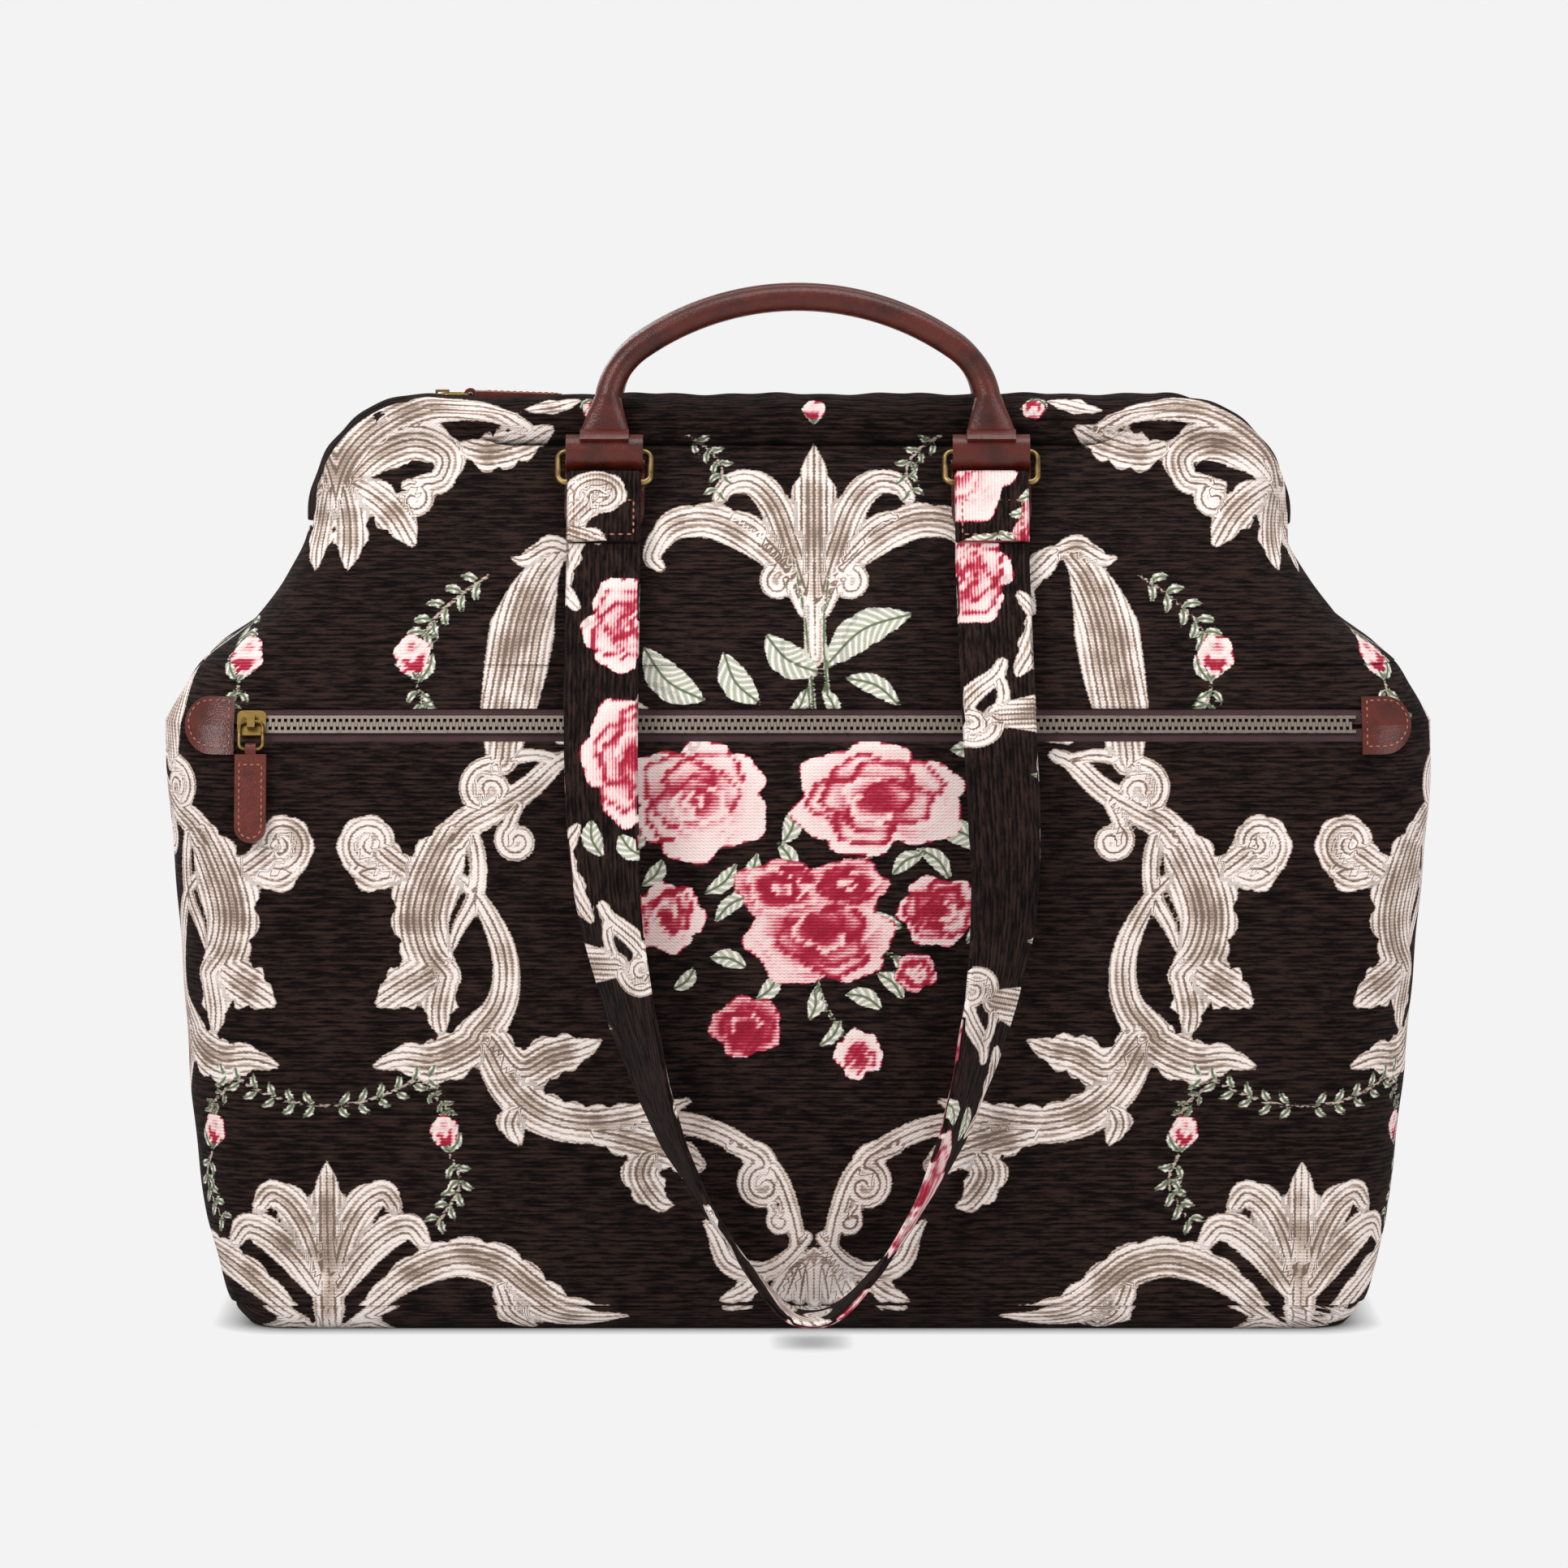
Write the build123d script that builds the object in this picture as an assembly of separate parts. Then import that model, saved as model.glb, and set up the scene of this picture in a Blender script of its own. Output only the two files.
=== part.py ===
from build123d import *
import os
from math import atan2, cos, degrees, hypot, radians, sin

# Framed carpet bag for a knitting project: a lofted tapestry body, a hinged two-part steel
# frame in fabric sleeves, rolled leather handles, a webbing loop on brass rings at the front
# and rear, a zipped front pocket and a zipped mouth.
# Millimetres. +X is the bag's right seen from the front, -Y its front, +Z up.
# The origin is at the middle of the flat bottom, on the surface that the bag stands on.

# Body, measured on the outside of the fabric
body_half_width = 245.5
body_half_depth = 97.0
base_tuck_width = 33.5          # how much narrower than the body the base is, each side
base_tuck_depth = 11.0
base_half_width = body_half_width - base_tuck_width
base_half_depth = body_half_depth - base_tuck_depth
hinge_z = 262.0                 # height of the frame's rivets
fold_z = 256.0                  # the lower body ends here and the folding upper body begins
upper_top_z = 338.0
wall = 3.0                      # chenille jacquard with its backing
least_corner = 2.0
overcut = 1.0                   # cutting shapes pass the cloth by this much
cloth_gap = 0.3                 # air between layers that only lie against each other
base_seam_z = 10.0
seam_half_depth_low = 58.0      # gusset seams, at the base and at the fold
seam_half_depth_high = 44.0
lining_thickness = 1.2
padding_thickness = 2.6

# Board that stiffens the bottom
board_thickness = 2.4
board_margin = 9.0
board_corner = 12.0

# Front pocket zip
zip_z = 233.5
zip_set_back = 18.5             # from the body's deepest place to its place at the zip
zip_half_depth = body_half_depth - zip_set_back
zip_half_length = 216.5
zip_window_height = 13.4
zip_tape_thickness = 1.0
zip_recess = 1.2                # tape face under the fabric face
chain_width = 7.0
chain_height = 2.4
tooth_pitch = 2.35
tooth_width = 1.05
tooth_reach = 0.9               # of a tooth past the middle of the chain
tooth_shift = 0.25              # of the pitch, so that the two rows mesh
zip_tape_inner = 1.0            # tape edge to the middle of the chain
chain_spine = 1.2
end_tab_length = 19.5
end_tab_height = 21.5
end_tab_thickness = 1.6
pocket_half_width = 200.0
pocket_bottom_z = 78.0
ply = 1.0                       # one layer of pocket cloth
inner_top_drop = 6.0            # the padding and the pocket end this far under the fold

# Slider and pull, the same on both zips
slider_length = 11.0
slider_plate = 1.5
slider_flange = 1.2
slider_gap = 0.3
slider_start_x = -209.7
slider_nose = 2.2               # corner radius of the plate
bail_height = 3.4
bail_width = 3.0
bail_span = 5.4
bail_strip = 0.9
wire_radius = 0.7
pull_ring_width = 9.0
pull_ring_length = 11.0
pull_width = 12.0
pull_length = 36.0
pull_ply = 1.5
pull_ring_lean_change = 4.0     # degrees that the ring hangs steeper than the zip
pull_lean = 12.0                # degrees that the leather pull leans from upright
pull_ring_corner = 2.5
pull_eye_margin = 5.0           # ring width less the eye's
pull_neck = 4.0
pull_slack = 0.3                # between the wire and its eye
pocket_flange_reach = 0.9
mouth_flange_reach = 0.3
mouth_pull_droop = 2.0          # degrees

# Frame of two steel hoops, each in a fabric sleeve
sleeve_radius = 10.0
mouth_half_gap = 2.5            # from each sleeve to the bag's middle
sleeve_y = sleeve_radius + mouth_half_gap
sleeve_sink = 1.0               # the sleeve's underside under the upper body's top
sleeve_z = upper_top_z + sleeve_radius - sleeve_sink
rod_radius = 3.5
corner_radius = 36.5            # of the hoop
sleeve_end_v = 46.0             # along the hoop's plane from the rivet line
sleeve_end_gap = 1.5            # from the folding body's step to the sleeve's end
rivet_x = 182.0                 # middle between the two flattened legs
leg_thickness = 2.5
leg_width = 7.0
leg_flat_length = 26.0
leg_gap = 0.6
rivet_radius = 2.0
rivet_head_radius = 3.6
rivet_head = 1.0
running_gap = 0.06

# Mouth zip
mouth_tape_thickness = 1.0
mouth_tape_drop = 10.0          # under the sleeve's centre line
mouth_tape_rise = 5.0
mouth_bead = 1.9
mouth_zip_half_length = 146.0
mouth_slider_start_x = -140.0

# Leather roll, its anchor tab and the brass ring that it holds
ring_spacing = 150.6
roll_radius = 7.0
roll_length = 30.0
roll_seat_z = 332.2             # where the roll touches the upper body
tab_thickness = 2.0
tab_length = 38.0
tab_width = 31.0
ring_over_strap = 9.7           # ring width less the strap's
ring_height = 16.0
ring_wire = 1.3                 # radius of the ring's rounded bar
ring_corner = 3.0
bar_gap = 0.3

# Shoulder strap of the body fabric
strap_width = 28.7
ring_width = strap_width + ring_over_strap
strap_thickness = 2.6
strap_fold_length = 27.0        # doubled end that holds the ring
strap_bottom_z = 8.0
strap_hang_gap = 3.0            # between the hanging strap's edge and the body
strap_zip_clearance = 17.5      # strap centre in front of the zip
strap_wrap = 3.0                # from the ring's bar to where the strap starts
strap_crease = 42.0             # from the ring's bar to where the strap leaves the panel
strap_lead = 5.0                # how much nearer the body it is at the second station

# Hanging strap, left then right: across as a share of half the ring spacing, height as a
# share of the way up to the crease, and the turn of its width in degrees
strap_hang_left = [
    (0.987, 0.684, -16.0),
    (0.954, 0.570, -28.0),
    (0.881, 0.463, -42.0),
    (0.774, 0.352, -56.0),
    (0.622, 0.239, -70.0),
    (0.376, 0.121, -82.0),
    (0.124, 0.029, -88.0),
]
strap_hang_right = [
    (0.239, 0.021, -92.0),
    (0.505, 0.107, -98.0),
    (0.744, 0.228, -110.0),
    (0.890, 0.345, -124.0),
    (0.989, 0.463, -140.0),
    (1.040, 0.570, -154.0),
    (1.040, 0.684, -164.0),
]
strap_bottom_x = 0.053          # share of half the ring spacing
strap_leave = (0.812, 8.0)      # height share and turn where it clears the zip
strap_leave_drift = 0.02        # of half the ring spacing, on the right

# Rolled handles
handle_radius = 5.1
handle_core_radius = 3.3
handle_lean = 12.5              # degrees, towards the middle of the bag
handle_height = 61.0            # apex of the centre line above the roll's centre
handle_foot_height = 22.0
foot_overlap = 0.5              # of the foot into the saddle
handle_foot_inset = 1.3
handle_foot_heading = 80.0      # degrees from level
handle_turn_heading = 35.0      # heading where the side arc meets the top arc
foot_width = 19.0
foot_thickness = 5.2
saddle_thickness = 1.7
saddle_half_angle = 65.0

# Half sizes of the body at each height: height, half width, half depth, corner radius
lower_stations = [
    (0.0, base_half_width, base_half_depth, 15.0),
    (base_seam_z, body_half_width - 24.5, body_half_depth - 5.0, 18.0),
    (40.0, body_half_width - 16.5, body_half_depth - 1.0, 25.0),
    (100.0, body_half_width - 10.0, body_half_depth, 31.0),
    (165.0, body_half_width - 5.0, body_half_depth - 3.5, 31.0),
    (215.0, body_half_width - 0.5, body_half_depth - 11.5, 29.0),
    (zip_z, body_half_width, zip_half_depth, 28.0),
    (fold_z, body_half_width - 9.5, zip_half_depth - 10.5, 27.0),
]
fold_half_depth = zip_half_depth - 10.5
upper_top_half_depth = sleeve_y + sleeve_radius - sleeve_sink
upper_narrowing = fold_half_depth - upper_top_half_depth
upper_stations = [
    (fold_z, body_half_width - 9.5, zip_half_depth - 10.5, 27.0),
    (fold_z + 19.0, body_half_width - 32.0, fold_half_depth - 19 / 93 * upper_narrowing, 24.0),
    (fold_z + 44.0, body_half_width - 51.0, fold_half_depth - 46 / 93 * upper_narrowing, 22.0),
    (fold_z + 64.0, body_half_width - 54.5, fold_half_depth - 70.8 / 93 * upper_narrowing, 18.0),
    (upper_top_z, body_half_width - 55.5, upper_top_half_depth, 10.0),
]


def depth_at(z):
    """Half depth of the body at a height, between its stations."""
    stations = lower_stations + upper_stations[1:]
    for low, high in zip(stations, stations[1:]):
        if z <= high[0]:
            share = (z - low[0]) / (high[0] - low[0])
            return low[2] + share * (high[2] - low[2])
    return stations[-1][2]


def body_loft(stations, inset, lift=0.0):
    """The body between its stations, every side moved in by inset, its base by lift."""
    sections = []
    for number, (z, half_width, half_depth, radius) in enumerate(stations):
        level = z + lift if number == 0 else z
        outline = RectangleRounded(
            2 * (half_width - inset),
            2 * (half_depth - inset),
            max(min(radius, half_depth - least_corner) - inset, least_corner),
        )
        sections.append(Pos(0, 0, level) * outline)
    return loft(sections, ruled=True)


def block(low, high):
    """A box between two corners."""
    size = [b - a for a, b in zip(low, high)]
    middle = [(a + b) / 2 for a, b in zip(low, high)]
    return Pos(*middle) * Box(*size)


def side_profile(points):
    """A closed outline in the YZ plane, carried right across the bag."""
    face = Plane.YZ * make_face(Polyline(points, close=True))
    return extrude(face, amount=2 * body_half_width, both=True)


def front_profile(edges, reach):
    """A closed outline in the XZ plane, carried from the middle to the front by reach."""
    face = Plane.XZ * make_face(edges)
    return extrude(face, amount=reach)


def turned(shape):
    """The rear copy of a front piece, half a turn about the bag's upright middle."""
    return Rot(0, 0, 180) * shape


# Lower body

reach = 2 * body_half_width
wedge = [
    (-seam_half_depth_low, -overcut),
    (-seam_half_depth_high, fold_z + overcut),
    (seam_half_depth_high, fold_z + overcut),
    (seam_half_depth_low, -overcut),
]
gusset_zone = side_profile(wedge)
front_zone = side_profile(
    [wedge[0], wedge[1], (-reach, fold_z + overcut), (-reach, -overcut)]
)

zip_lean = degrees(atan2(lower_stations[5][2] - lower_stations[7][2], fold_z - lower_stations[5][0]))
zip_plane = Plane(
    origin=(0, -zip_half_depth, zip_z),
    x_dir=(1, 0, 0),
    z_dir=(0, -cos(radians(zip_lean)), sin(radians(zip_lean))),
)


def fabric_body():
    shell = body_loft(lower_stations, 0.0) - body_loft(lower_stations, wall, wall)
    above_seam = shell - block((-reach, -reach, -overcut), (reach, reach, base_seam_z))
    bottom = shell & block((-reach, -reach, -overcut), (reach, reach, base_seam_z))
    window = zip_plane * Box(2 * zip_half_length, zip_window_height, 8 * wall)
    gussets = above_seam & gusset_zone
    front = (above_seam & front_zone) - window
    rear = turned(above_seam & front_zone)
    left = gussets & block((-reach, -reach, 0), (0, reach, reach))
    right = gussets & block((0, -reach, 0), (reach, reach, reach))
    return {
        "front_panel": front,
        "rear_panel": rear,
        "gusset_left": left,
        "gusset_right": right,
        "bottom_panel": bottom,
    }


def inner_layers():
    padding_inset = wall + cloth_gap
    pocket_depth = padding_thickness
    lining_inset = padding_inset + padding_thickness + cloth_gap
    board_top = padding_inset + board_thickness
    lining_lift = board_top + cloth_gap

    padding = body_loft(lower_stations, padding_inset, board_top) - body_loft(
        lower_stations, padding_inset + padding_thickness, board_top - overcut
    )
    top_trim = block((-reach, -reach, fold_z - inner_top_drop), (reach, reach, reach))
    padding = padding - front_zone - top_trim

    board = Pos(0, 0, padding_inset) * extrude(
        RectangleRounded(
            2 * (base_half_width - board_margin), 2 * (base_half_depth - board_margin), board_corner
        ),
        amount=board_thickness,
    )

    lining = body_loft(lower_stations, lining_inset, lining_lift) - body_loft(
        lower_stations, lining_inset + lining_thickness, lining_lift + lining_thickness
    )

    outside = body_loft(lower_stations, padding_inset, board_top) - body_loft(
        lower_stations, padding_inset + pocket_depth, board_top - overcut
    )
    hollow = body_loft(lower_stations, padding_inset + ply, board_top) - body_loft(
        lower_stations, padding_inset + pocket_depth - ply, board_top - overcut
    )
    outer_box = block(
        (-pocket_half_width, -reach, pocket_bottom_z), (pocket_half_width, 0, fold_z - inner_top_drop)
    )
    inner_box = block(
        (-pocket_half_width + ply, -reach, pocket_bottom_z + ply),
        (pocket_half_width - ply, 0, fold_z),
    )
    window = zip_plane * Pos(0, 0, -padding_inset - ply) * Box(
        2 * (pocket_half_width - 4 * ply), zip_window_height, 2 * ply
    )
    pocket = (outside & outer_box) - (hollow & inner_box) - window
    return {
        "padding": padding,
        "bottom_board": board,
        "lining": lining,
        "pocket_bag": pocket,
    }


def tooth_comb(length):
    """One side of a zip chain, in its own plane: a spine with teeth that pass the middle."""
    half = chain_width / 2
    count = int((length - tooth_width) / tooth_pitch)
    start = -count * tooth_pitch / 2
    outline = [(-length / 2, half), (-length / 2, half - chain_spine)]
    for number in range(count):
        x = start + (number + tooth_shift) * tooth_pitch
        outline += [
            (x - tooth_width / 2, half - chain_spine),
            (x - tooth_width / 2, -tooth_reach),
            (x + tooth_width / 2, -tooth_reach),
            (x + tooth_width / 2, half - chain_spine),
        ]
    outline += [(length / 2, half - chain_spine), (length / 2, half)]
    return extrude(make_face(Polyline(outline, close=True)), amount=chain_height)


def pocket_zip():
    tape_half = zip_window_height / 2
    tape = Pos(0, (tape_half + zip_tape_inner) / 2, -zip_recess - zip_tape_thickness / 2) * Box(
        2 * zip_half_length, tape_half - zip_tape_inner, zip_tape_thickness
    )
    comb = Pos(0, 0, -zip_recess) * tooth_comb(2 * zip_half_length - 2 * tooth_pitch)
    flip = Rot(0, 0, 180)
    pieces = {
        "zip_tape_upper": zip_plane * tape,
        "zip_tape_lower": zip_plane * (flip * tape),
        "zip_teeth_upper": zip_plane * comb,
        "zip_teeth_lower": zip_plane * (flip * comb),
    }
    skin = body_loft(lower_stations, -cloth_gap - end_tab_thickness) - body_loft(
        lower_stations, -cloth_gap, -1.0
    )
    nose = end_tab_height / 2
    inner_x = zip_half_length
    shape = Pos(inner_x + (end_tab_length - nose) / 2, 0) * Rectangle(
        end_tab_length - nose, end_tab_height
    ) + Pos(inner_x + end_tab_length - nose, 0) * Circle(nose)
    shape = shape & Pos(inner_x + end_tab_length, 0) * Rectangle(2 * end_tab_length, reach)
    tab = skin & extrude(Plane.XZ * (Pos(0, zip_z) * shape), amount=reach)
    pieces["zip_end_tab_right"] = tab
    pieces["zip_end_tab_left"] = mirror(tab, about=Plane.YZ)
    return pieces


# Frame, sleeves and the folding upper body

sleeve_v = hypot(sleeve_y, sleeve_z - hinge_z)
frame_lean = degrees(atan2(sleeve_y, sleeve_z - hinge_z))
frame_plane = Plane(
    origin=(0, 0, hinge_z),
    x_dir=(1, 0, 0),
    z_dir=(0, -cos(radians(frame_lean)), -sin(radians(frame_lean))),
)
inner_leg = rivet_x - (leg_thickness + leg_gap) / 2
outer_leg = rivet_x + (leg_thickness + leg_gap) / 2


def hoop_path(low_v):
    """The hoop's centre line in its plane: up the left leg, across and down the right leg.
    One leg is further out than the other, so that the two hoops pass at the rivets."""
    points = [(-inner_leg, low_v), (-inner_leg, sleeve_v), (outer_leg, sleeve_v), (outer_leg, low_v)]
    return FilletPolyline(*points, radius=corner_radius)


def tube_along(path, outer, inner=0.0):
    """A round tube, or a rod, along a path."""
    section = Circle(outer)
    if inner:
        section = section - Circle(inner)
    start = Plane(origin=path @ 0, z_dir=path % 0)
    return sweep(start * section, path=path)


def leg_end(x):
    """A flattened leg with the rivet's eye, in the hoop's plane."""
    flat = Pos(x, (leg_flat_length + 1.0) / 2, 0) * Box(leg_thickness, leg_flat_length + 1.0, leg_width)
    eye = Pos(x, 0, 0) * Rot(0, 90, 0) * Cylinder(leg_width / 2, leg_thickness)
    bore = Pos(x, 0, 0) * Rot(0, 90, 0) * Cylinder(rivet_radius + running_gap, 2 * leg_thickness)
    return flat + eye - bore


def mouth_half():
    """The front half of the mouth. The rear half is the same piece turned half round."""
    rod = tube_along(hoop_path(leg_flat_length), rod_radius)
    frame = rod + leg_end(-inner_leg) + leg_end(outer_leg)

    sleeve = tube_along(hoop_path(sleeve_end_v), sleeve_radius, rod_radius + cloth_gap)
    in_front = block((-reach, -reach, 0), (reach, -cloth_gap / 2, reach))

    # the tape lies against the sleeve's inner side, and its bead is the row of teeth
    face_y = -(sleeve_y - sleeve_radius - cloth_gap)
    tape_top = sleeve_z + mouth_tape_rise
    tape = block(
        (-mouth_zip_half_length, face_y, sleeve_z - mouth_tape_drop),
        (mouth_zip_half_length, face_y + mouth_tape_thickness, tape_top),
    )
    teeth = block(
        (-mouth_zip_half_length + mouth_bead, face_y, tape_top),
        (mouth_zip_half_length - mouth_bead, face_y + mouth_bead, tape_top + mouth_bead),
    )
    pieces = {
        "frame": frame_plane * frame,
        "sleeve": (frame_plane * sleeve) & in_front,
        "mouth_tape": tape,
        "mouth_teeth": teeth,
    }
    rivet = Cylinder(rivet_radius, 2 * leg_thickness + leg_gap + 2 * running_gap)
    stack = leg_thickness + leg_gap / 2 + running_gap
    for side in (-1, 1):
        heads = [
            Pos(0, 0, end * (stack + rivet_head / 2)) * Cylinder(rivet_head_radius, rivet_head)
            for end in (-1, 1)
        ]
        whole = rivet + heads[0] + heads[1]
        pieces["rivet_right" if side > 0 else "rivet_left"] = (
            Pos(side * rivet_x, 0, hinge_z) * Rot(0, 90, 0) * whole
        )
    return pieces


def upper_body():
    shell = body_loft(upper_stations, 0.0) - body_loft(upper_stations, wall)
    keep = sleeve_radius + 2 * cloth_gap
    side_x = inner_leg - keep
    radius = corner_radius - keep
    step_z = hinge_z + (sleeve_end_v - sleeve_end_gap) * cos(radians(frame_lean))
    wide = body_half_width
    outline = [
        Line((-wide, fold_z), (-wide, step_z)),
        Line((-wide, step_z), (-side_x, step_z)),
        Line((-side_x, step_z), (-side_x, upper_top_z - radius)),
        RadiusArc((-side_x, upper_top_z - radius), (-side_x + radius, upper_top_z), radius),
        Line((-side_x + radius, upper_top_z), (side_x - radius, upper_top_z)),
        RadiusArc((side_x - radius, upper_top_z), (side_x, upper_top_z - radius), radius),
        Line((side_x, upper_top_z - radius), (side_x, step_z)),
        Line((side_x, step_z), (wide, step_z)),
        Line((wide, step_z), (wide, fold_z)),
        Line((wide, fold_z), (-wide, fold_z)),
    ]
    front = shell & (Pos(0, -cloth_gap, 0) * front_profile(outline, reach))
    return {"front_upper": front, "rear_upper": turned(front)}


# Leather rolls, rings, strap and handles

anchor_low = upper_stations[2]
anchor_high = upper_stations[4]
anchor_lean = degrees(atan2(anchor_low[2] - anchor_high[2], anchor_high[0] - anchor_low[0]))
panel_normal = (0, -cos(radians(anchor_lean)), sin(radians(anchor_lean)))
roll_stand_off = cloth_gap + roll_radius
roll_y = -depth_at(roll_seat_z) + roll_stand_off * panel_normal[1]
roll_z = roll_seat_z + roll_stand_off * panel_normal[2]
bar_drop = ring_height - 2 * ring_wire
bar_y = roll_y - bar_drop * sin(radians(anchor_lean))
bar_z = roll_z - bar_drop * cos(radians(anchor_lean))


def anchor_plane(x):
    """At the roll's centre: x along the roll, y up the panel, z out of it."""
    return Plane(origin=(x, roll_y, roll_z), x_dir=(1, 0, 0), z_dir=panel_normal)


def anchor(x):
    """The leather roll round the ring's top bar, with the tab that is sewn to the panel."""
    roll = Rot(0, 90, 0) * (
        Cylinder(roll_radius, roll_length) - Cylinder(ring_wire + bar_gap, 2 * roll_length)
    )
    nose = tab_width / 2
    shape = Pos(0, -(tab_length - nose) / 2) * Rectangle(tab_width, tab_length - nose) + Pos(
        0, -(tab_length - nose)
    ) * Circle(nose)
    tab = Pos(0, 0, -roll_radius) * extrude(shape, amount=tab_thickness)
    clear = Rot(0, 90, 0) * Cylinder(roll_radius - 0.5 * tab_thickness, 2 * roll_length)
    return anchor_plane(x) * (roll + (tab - clear))


def ring(x):
    """The rectangular ring: its top bar runs through the roll, its bottom bar carries the strap."""
    across = ring_width - 2 * ring_wire
    outline = Pos(0, -bar_drop / 2) * RectangleRounded(across, bar_drop, ring_corner)
    path = outline.wire()
    section = Plane(origin=path @ 0, z_dir=path % 0) * Circle(ring_wire)
    return anchor_plane(x) * sweep(section, path=path)


def strap_stations():
    """Centre and turn of the strap's width, from the left ring down and up to the right ring.
    The loop hangs a little to one side, as webbing does."""
    side = ring_spacing / 2
    down = (-sin(radians(anchor_lean)), -cos(radians(anchor_lean)))
    start = (bar_y + strap_wrap * down[0], bar_z + strap_wrap * down[1])
    crease = (bar_y + strap_crease * down[0], bar_z + strap_crease * down[1])
    hang_y = -body_half_depth - strap_width / 2 - strap_hang_gap
    leave_y = -zip_half_depth - strap_zip_clearance
    rise = crease[1] - strap_bottom_z
    leave_z = strap_bottom_z + strap_leave[0] * rise

    def hanging(rows, sign):
        found = []
        for across, share, turn in rows:
            near = strap_lead if share == rows[0 if sign < 0 else -1][1] else 0.0
            found.append((sign * across * side, hang_y + near, strap_bottom_z + share * rise, turn))
        return found

    left = [(-side, *start, 0), (-side, *crease, 0), (-side, leave_y, leave_z, -strap_leave[1])]
    right = [
        (side * (1 + strap_leave_drift), leave_y, leave_z, strap_leave[1] - 180),
        (side, *crease, -180),
        (side, *start, -180),
    ]
    bottom = [(strap_bottom_x * side, hang_y, strap_bottom_z, -90)]
    return left + hanging(strap_hang_left, -1) + bottom + hanging(strap_hang_right, 1) + right


def strap():
    stations = strap_stations()
    centres = [Vector(*station[:3]) for station in stations]
    sections = []
    for number, station in enumerate(stations):
        before = centres[max(number - 1, 0)]
        after = centres[min(number + 1, len(centres) - 1)]
        along = (after - before).normalized()
        turn = radians(station[3])
        wide = Vector(cos(turn), sin(turn), 0)
        wide = (wide - along * wide.dot(along)).normalized()
        place = Plane(origin=centres[number], x_dir=wide, z_dir=along)
        sections.append(place * Rectangle(strap_width, strap_thickness))
    band = loft(sections, ruled=True)
    eye_radius = ring_wire + bar_gap + strap_thickness
    for side in (-1, 1):
        x = side * ring_spacing / 2
        place = anchor_plane(x) * Pos(0, -bar_drop, 0)
        eye = Rot(0, 90, 0) * Cylinder(eye_radius, strap_width)
        fold = Pos(0, -strap_fold_length / 2, 0) * Box(strap_width, strap_fold_length, 2 * strap_thickness)
        bore = Rot(0, 90, 0) * Cylinder(ring_wire + bar_gap, 2 * strap_width)
        band = (band + place * (eye + fold)) - place * bore
    return band


handle_plane = Plane(
    origin=(0, roll_y, roll_z),
    x_dir=(1, 0, 0),
    z_dir=(0, -cos(radians(handle_lean)), sin(radians(handle_lean))),
)


def handle_path():
    """Two side arcs and a top arc, tangent to each other, with the apex at handle_height."""
    start = radians(handle_foot_heading)
    turn = radians(handle_turn_heading)
    span = ring_spacing / 2 - handle_foot_inset
    rise = handle_height - handle_foot_height
    # span = top * sin(turn) + side * (sin(start) - sin(turn)), and rise in the same way
    a, b = sin(turn), sin(start) - sin(turn)
    c, d = 1 - cos(turn), cos(turn) - cos(start)
    top = (span * d - rise * b) / (a * d - c * b)
    side = (rise - top * c) / d
    sweep_side = handle_foot_heading - handle_turn_heading
    first = JernArc((-span, handle_foot_height), (cos(start), sin(start)), side, -sweep_side)
    second = JernArc(first @ 1, first % 1, top, -2 * handle_turn_heading)
    third = JernArc(second @ 1, second % 1, side, -sweep_side)
    return Wire([first, second, third])


def handle():
    """Rolled leather over a cord core, with flared feet that sit over the leather rolls."""
    path = handle_path()
    skin = tube_along(path, handle_radius, handle_core_radius + cloth_gap / 3)
    core = tube_along(path, handle_core_radius)
    whole = skin
    inner = roll_radius + cloth_gap
    outer = inner + saddle_thickness
    for side in (-1, 1):
        end = path @ (0 if side < 0 else 1)
        heading = path % (0 if side < 0 else 1)
        x = side * ring_spacing / 2
        high = Plane(origin=end, z_dir=heading) * Circle(handle_radius)
        low = Plane(origin=(x, outer - foot_overlap, 0), x_dir=(1, 0, 0), z_dir=(0, 1, 0)) * Ellipse(
            foot_width / 2, foot_thickness / 2
        )
        foot = loft([low, high] if side < 0 else [high, low])
        sector = Circle(outer) - Circle(inner)
        far = 3 * outer
        angle = radians(90 - saddle_half_angle)
        cut = make_face(
            Polyline(
                (0, 0),
                (far * cos(angle), far * sin(angle)),
                (far * cos(angle), far),
                (-far * cos(angle), far),
                (-far * cos(angle), far * sin(angle)),
                close=True,
            )
        )
        saddle = Plane(origin=(x, 0, 0), x_dir=(0, 0, 1), z_dir=(-1, 0, 0)) * extrude(
            sector & cut, amount=foot_width / 2, both=True
        )
        whole = whole + foot + saddle
    return handle_plane * whole, handle_plane * core


# Sliders and pulls

def slider_shape(chain, height, flange_reach, bail_turn):
    """Slider on a chain that runs along x: plate, flanges and bail. z is out of the chain."""
    inside = height / 2 + slider_gap
    half = chain / 2 + slider_gap + slider_flange
    top = inside + slider_plate
    body = Pos(0, 0, inside) * extrude(
        RectangleRounded(slider_length, 2 * half, slider_nose), amount=slider_plate
    )
    flange_height = inside + flange_reach
    for side in (-1, 1):
        body = body + Pos(0, side * (half - slider_flange / 2), inside - flange_height / 2) * Box(
            slider_length - 2 * slider_nose, slider_flange, flange_height
        )
    arch = Box(bail_width, bail_span, bail_height)
    hole = Box(2 * bail_width, bail_span - 2 * bail_strip, bail_height)
    bail = arch - Pos(0, 0, -bail_strip) * hole
    return body + Rot(0, 0, bail_turn) * Pos(0, 0, top + bail_height / 2) * bail


def wire_height(height):
    """Height of the pull's top wire above the middle of the chain."""
    top = height / 2 + slider_gap + slider_plate + bail_height
    return top - bail_strip - wire_radius - slider_gap


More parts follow.
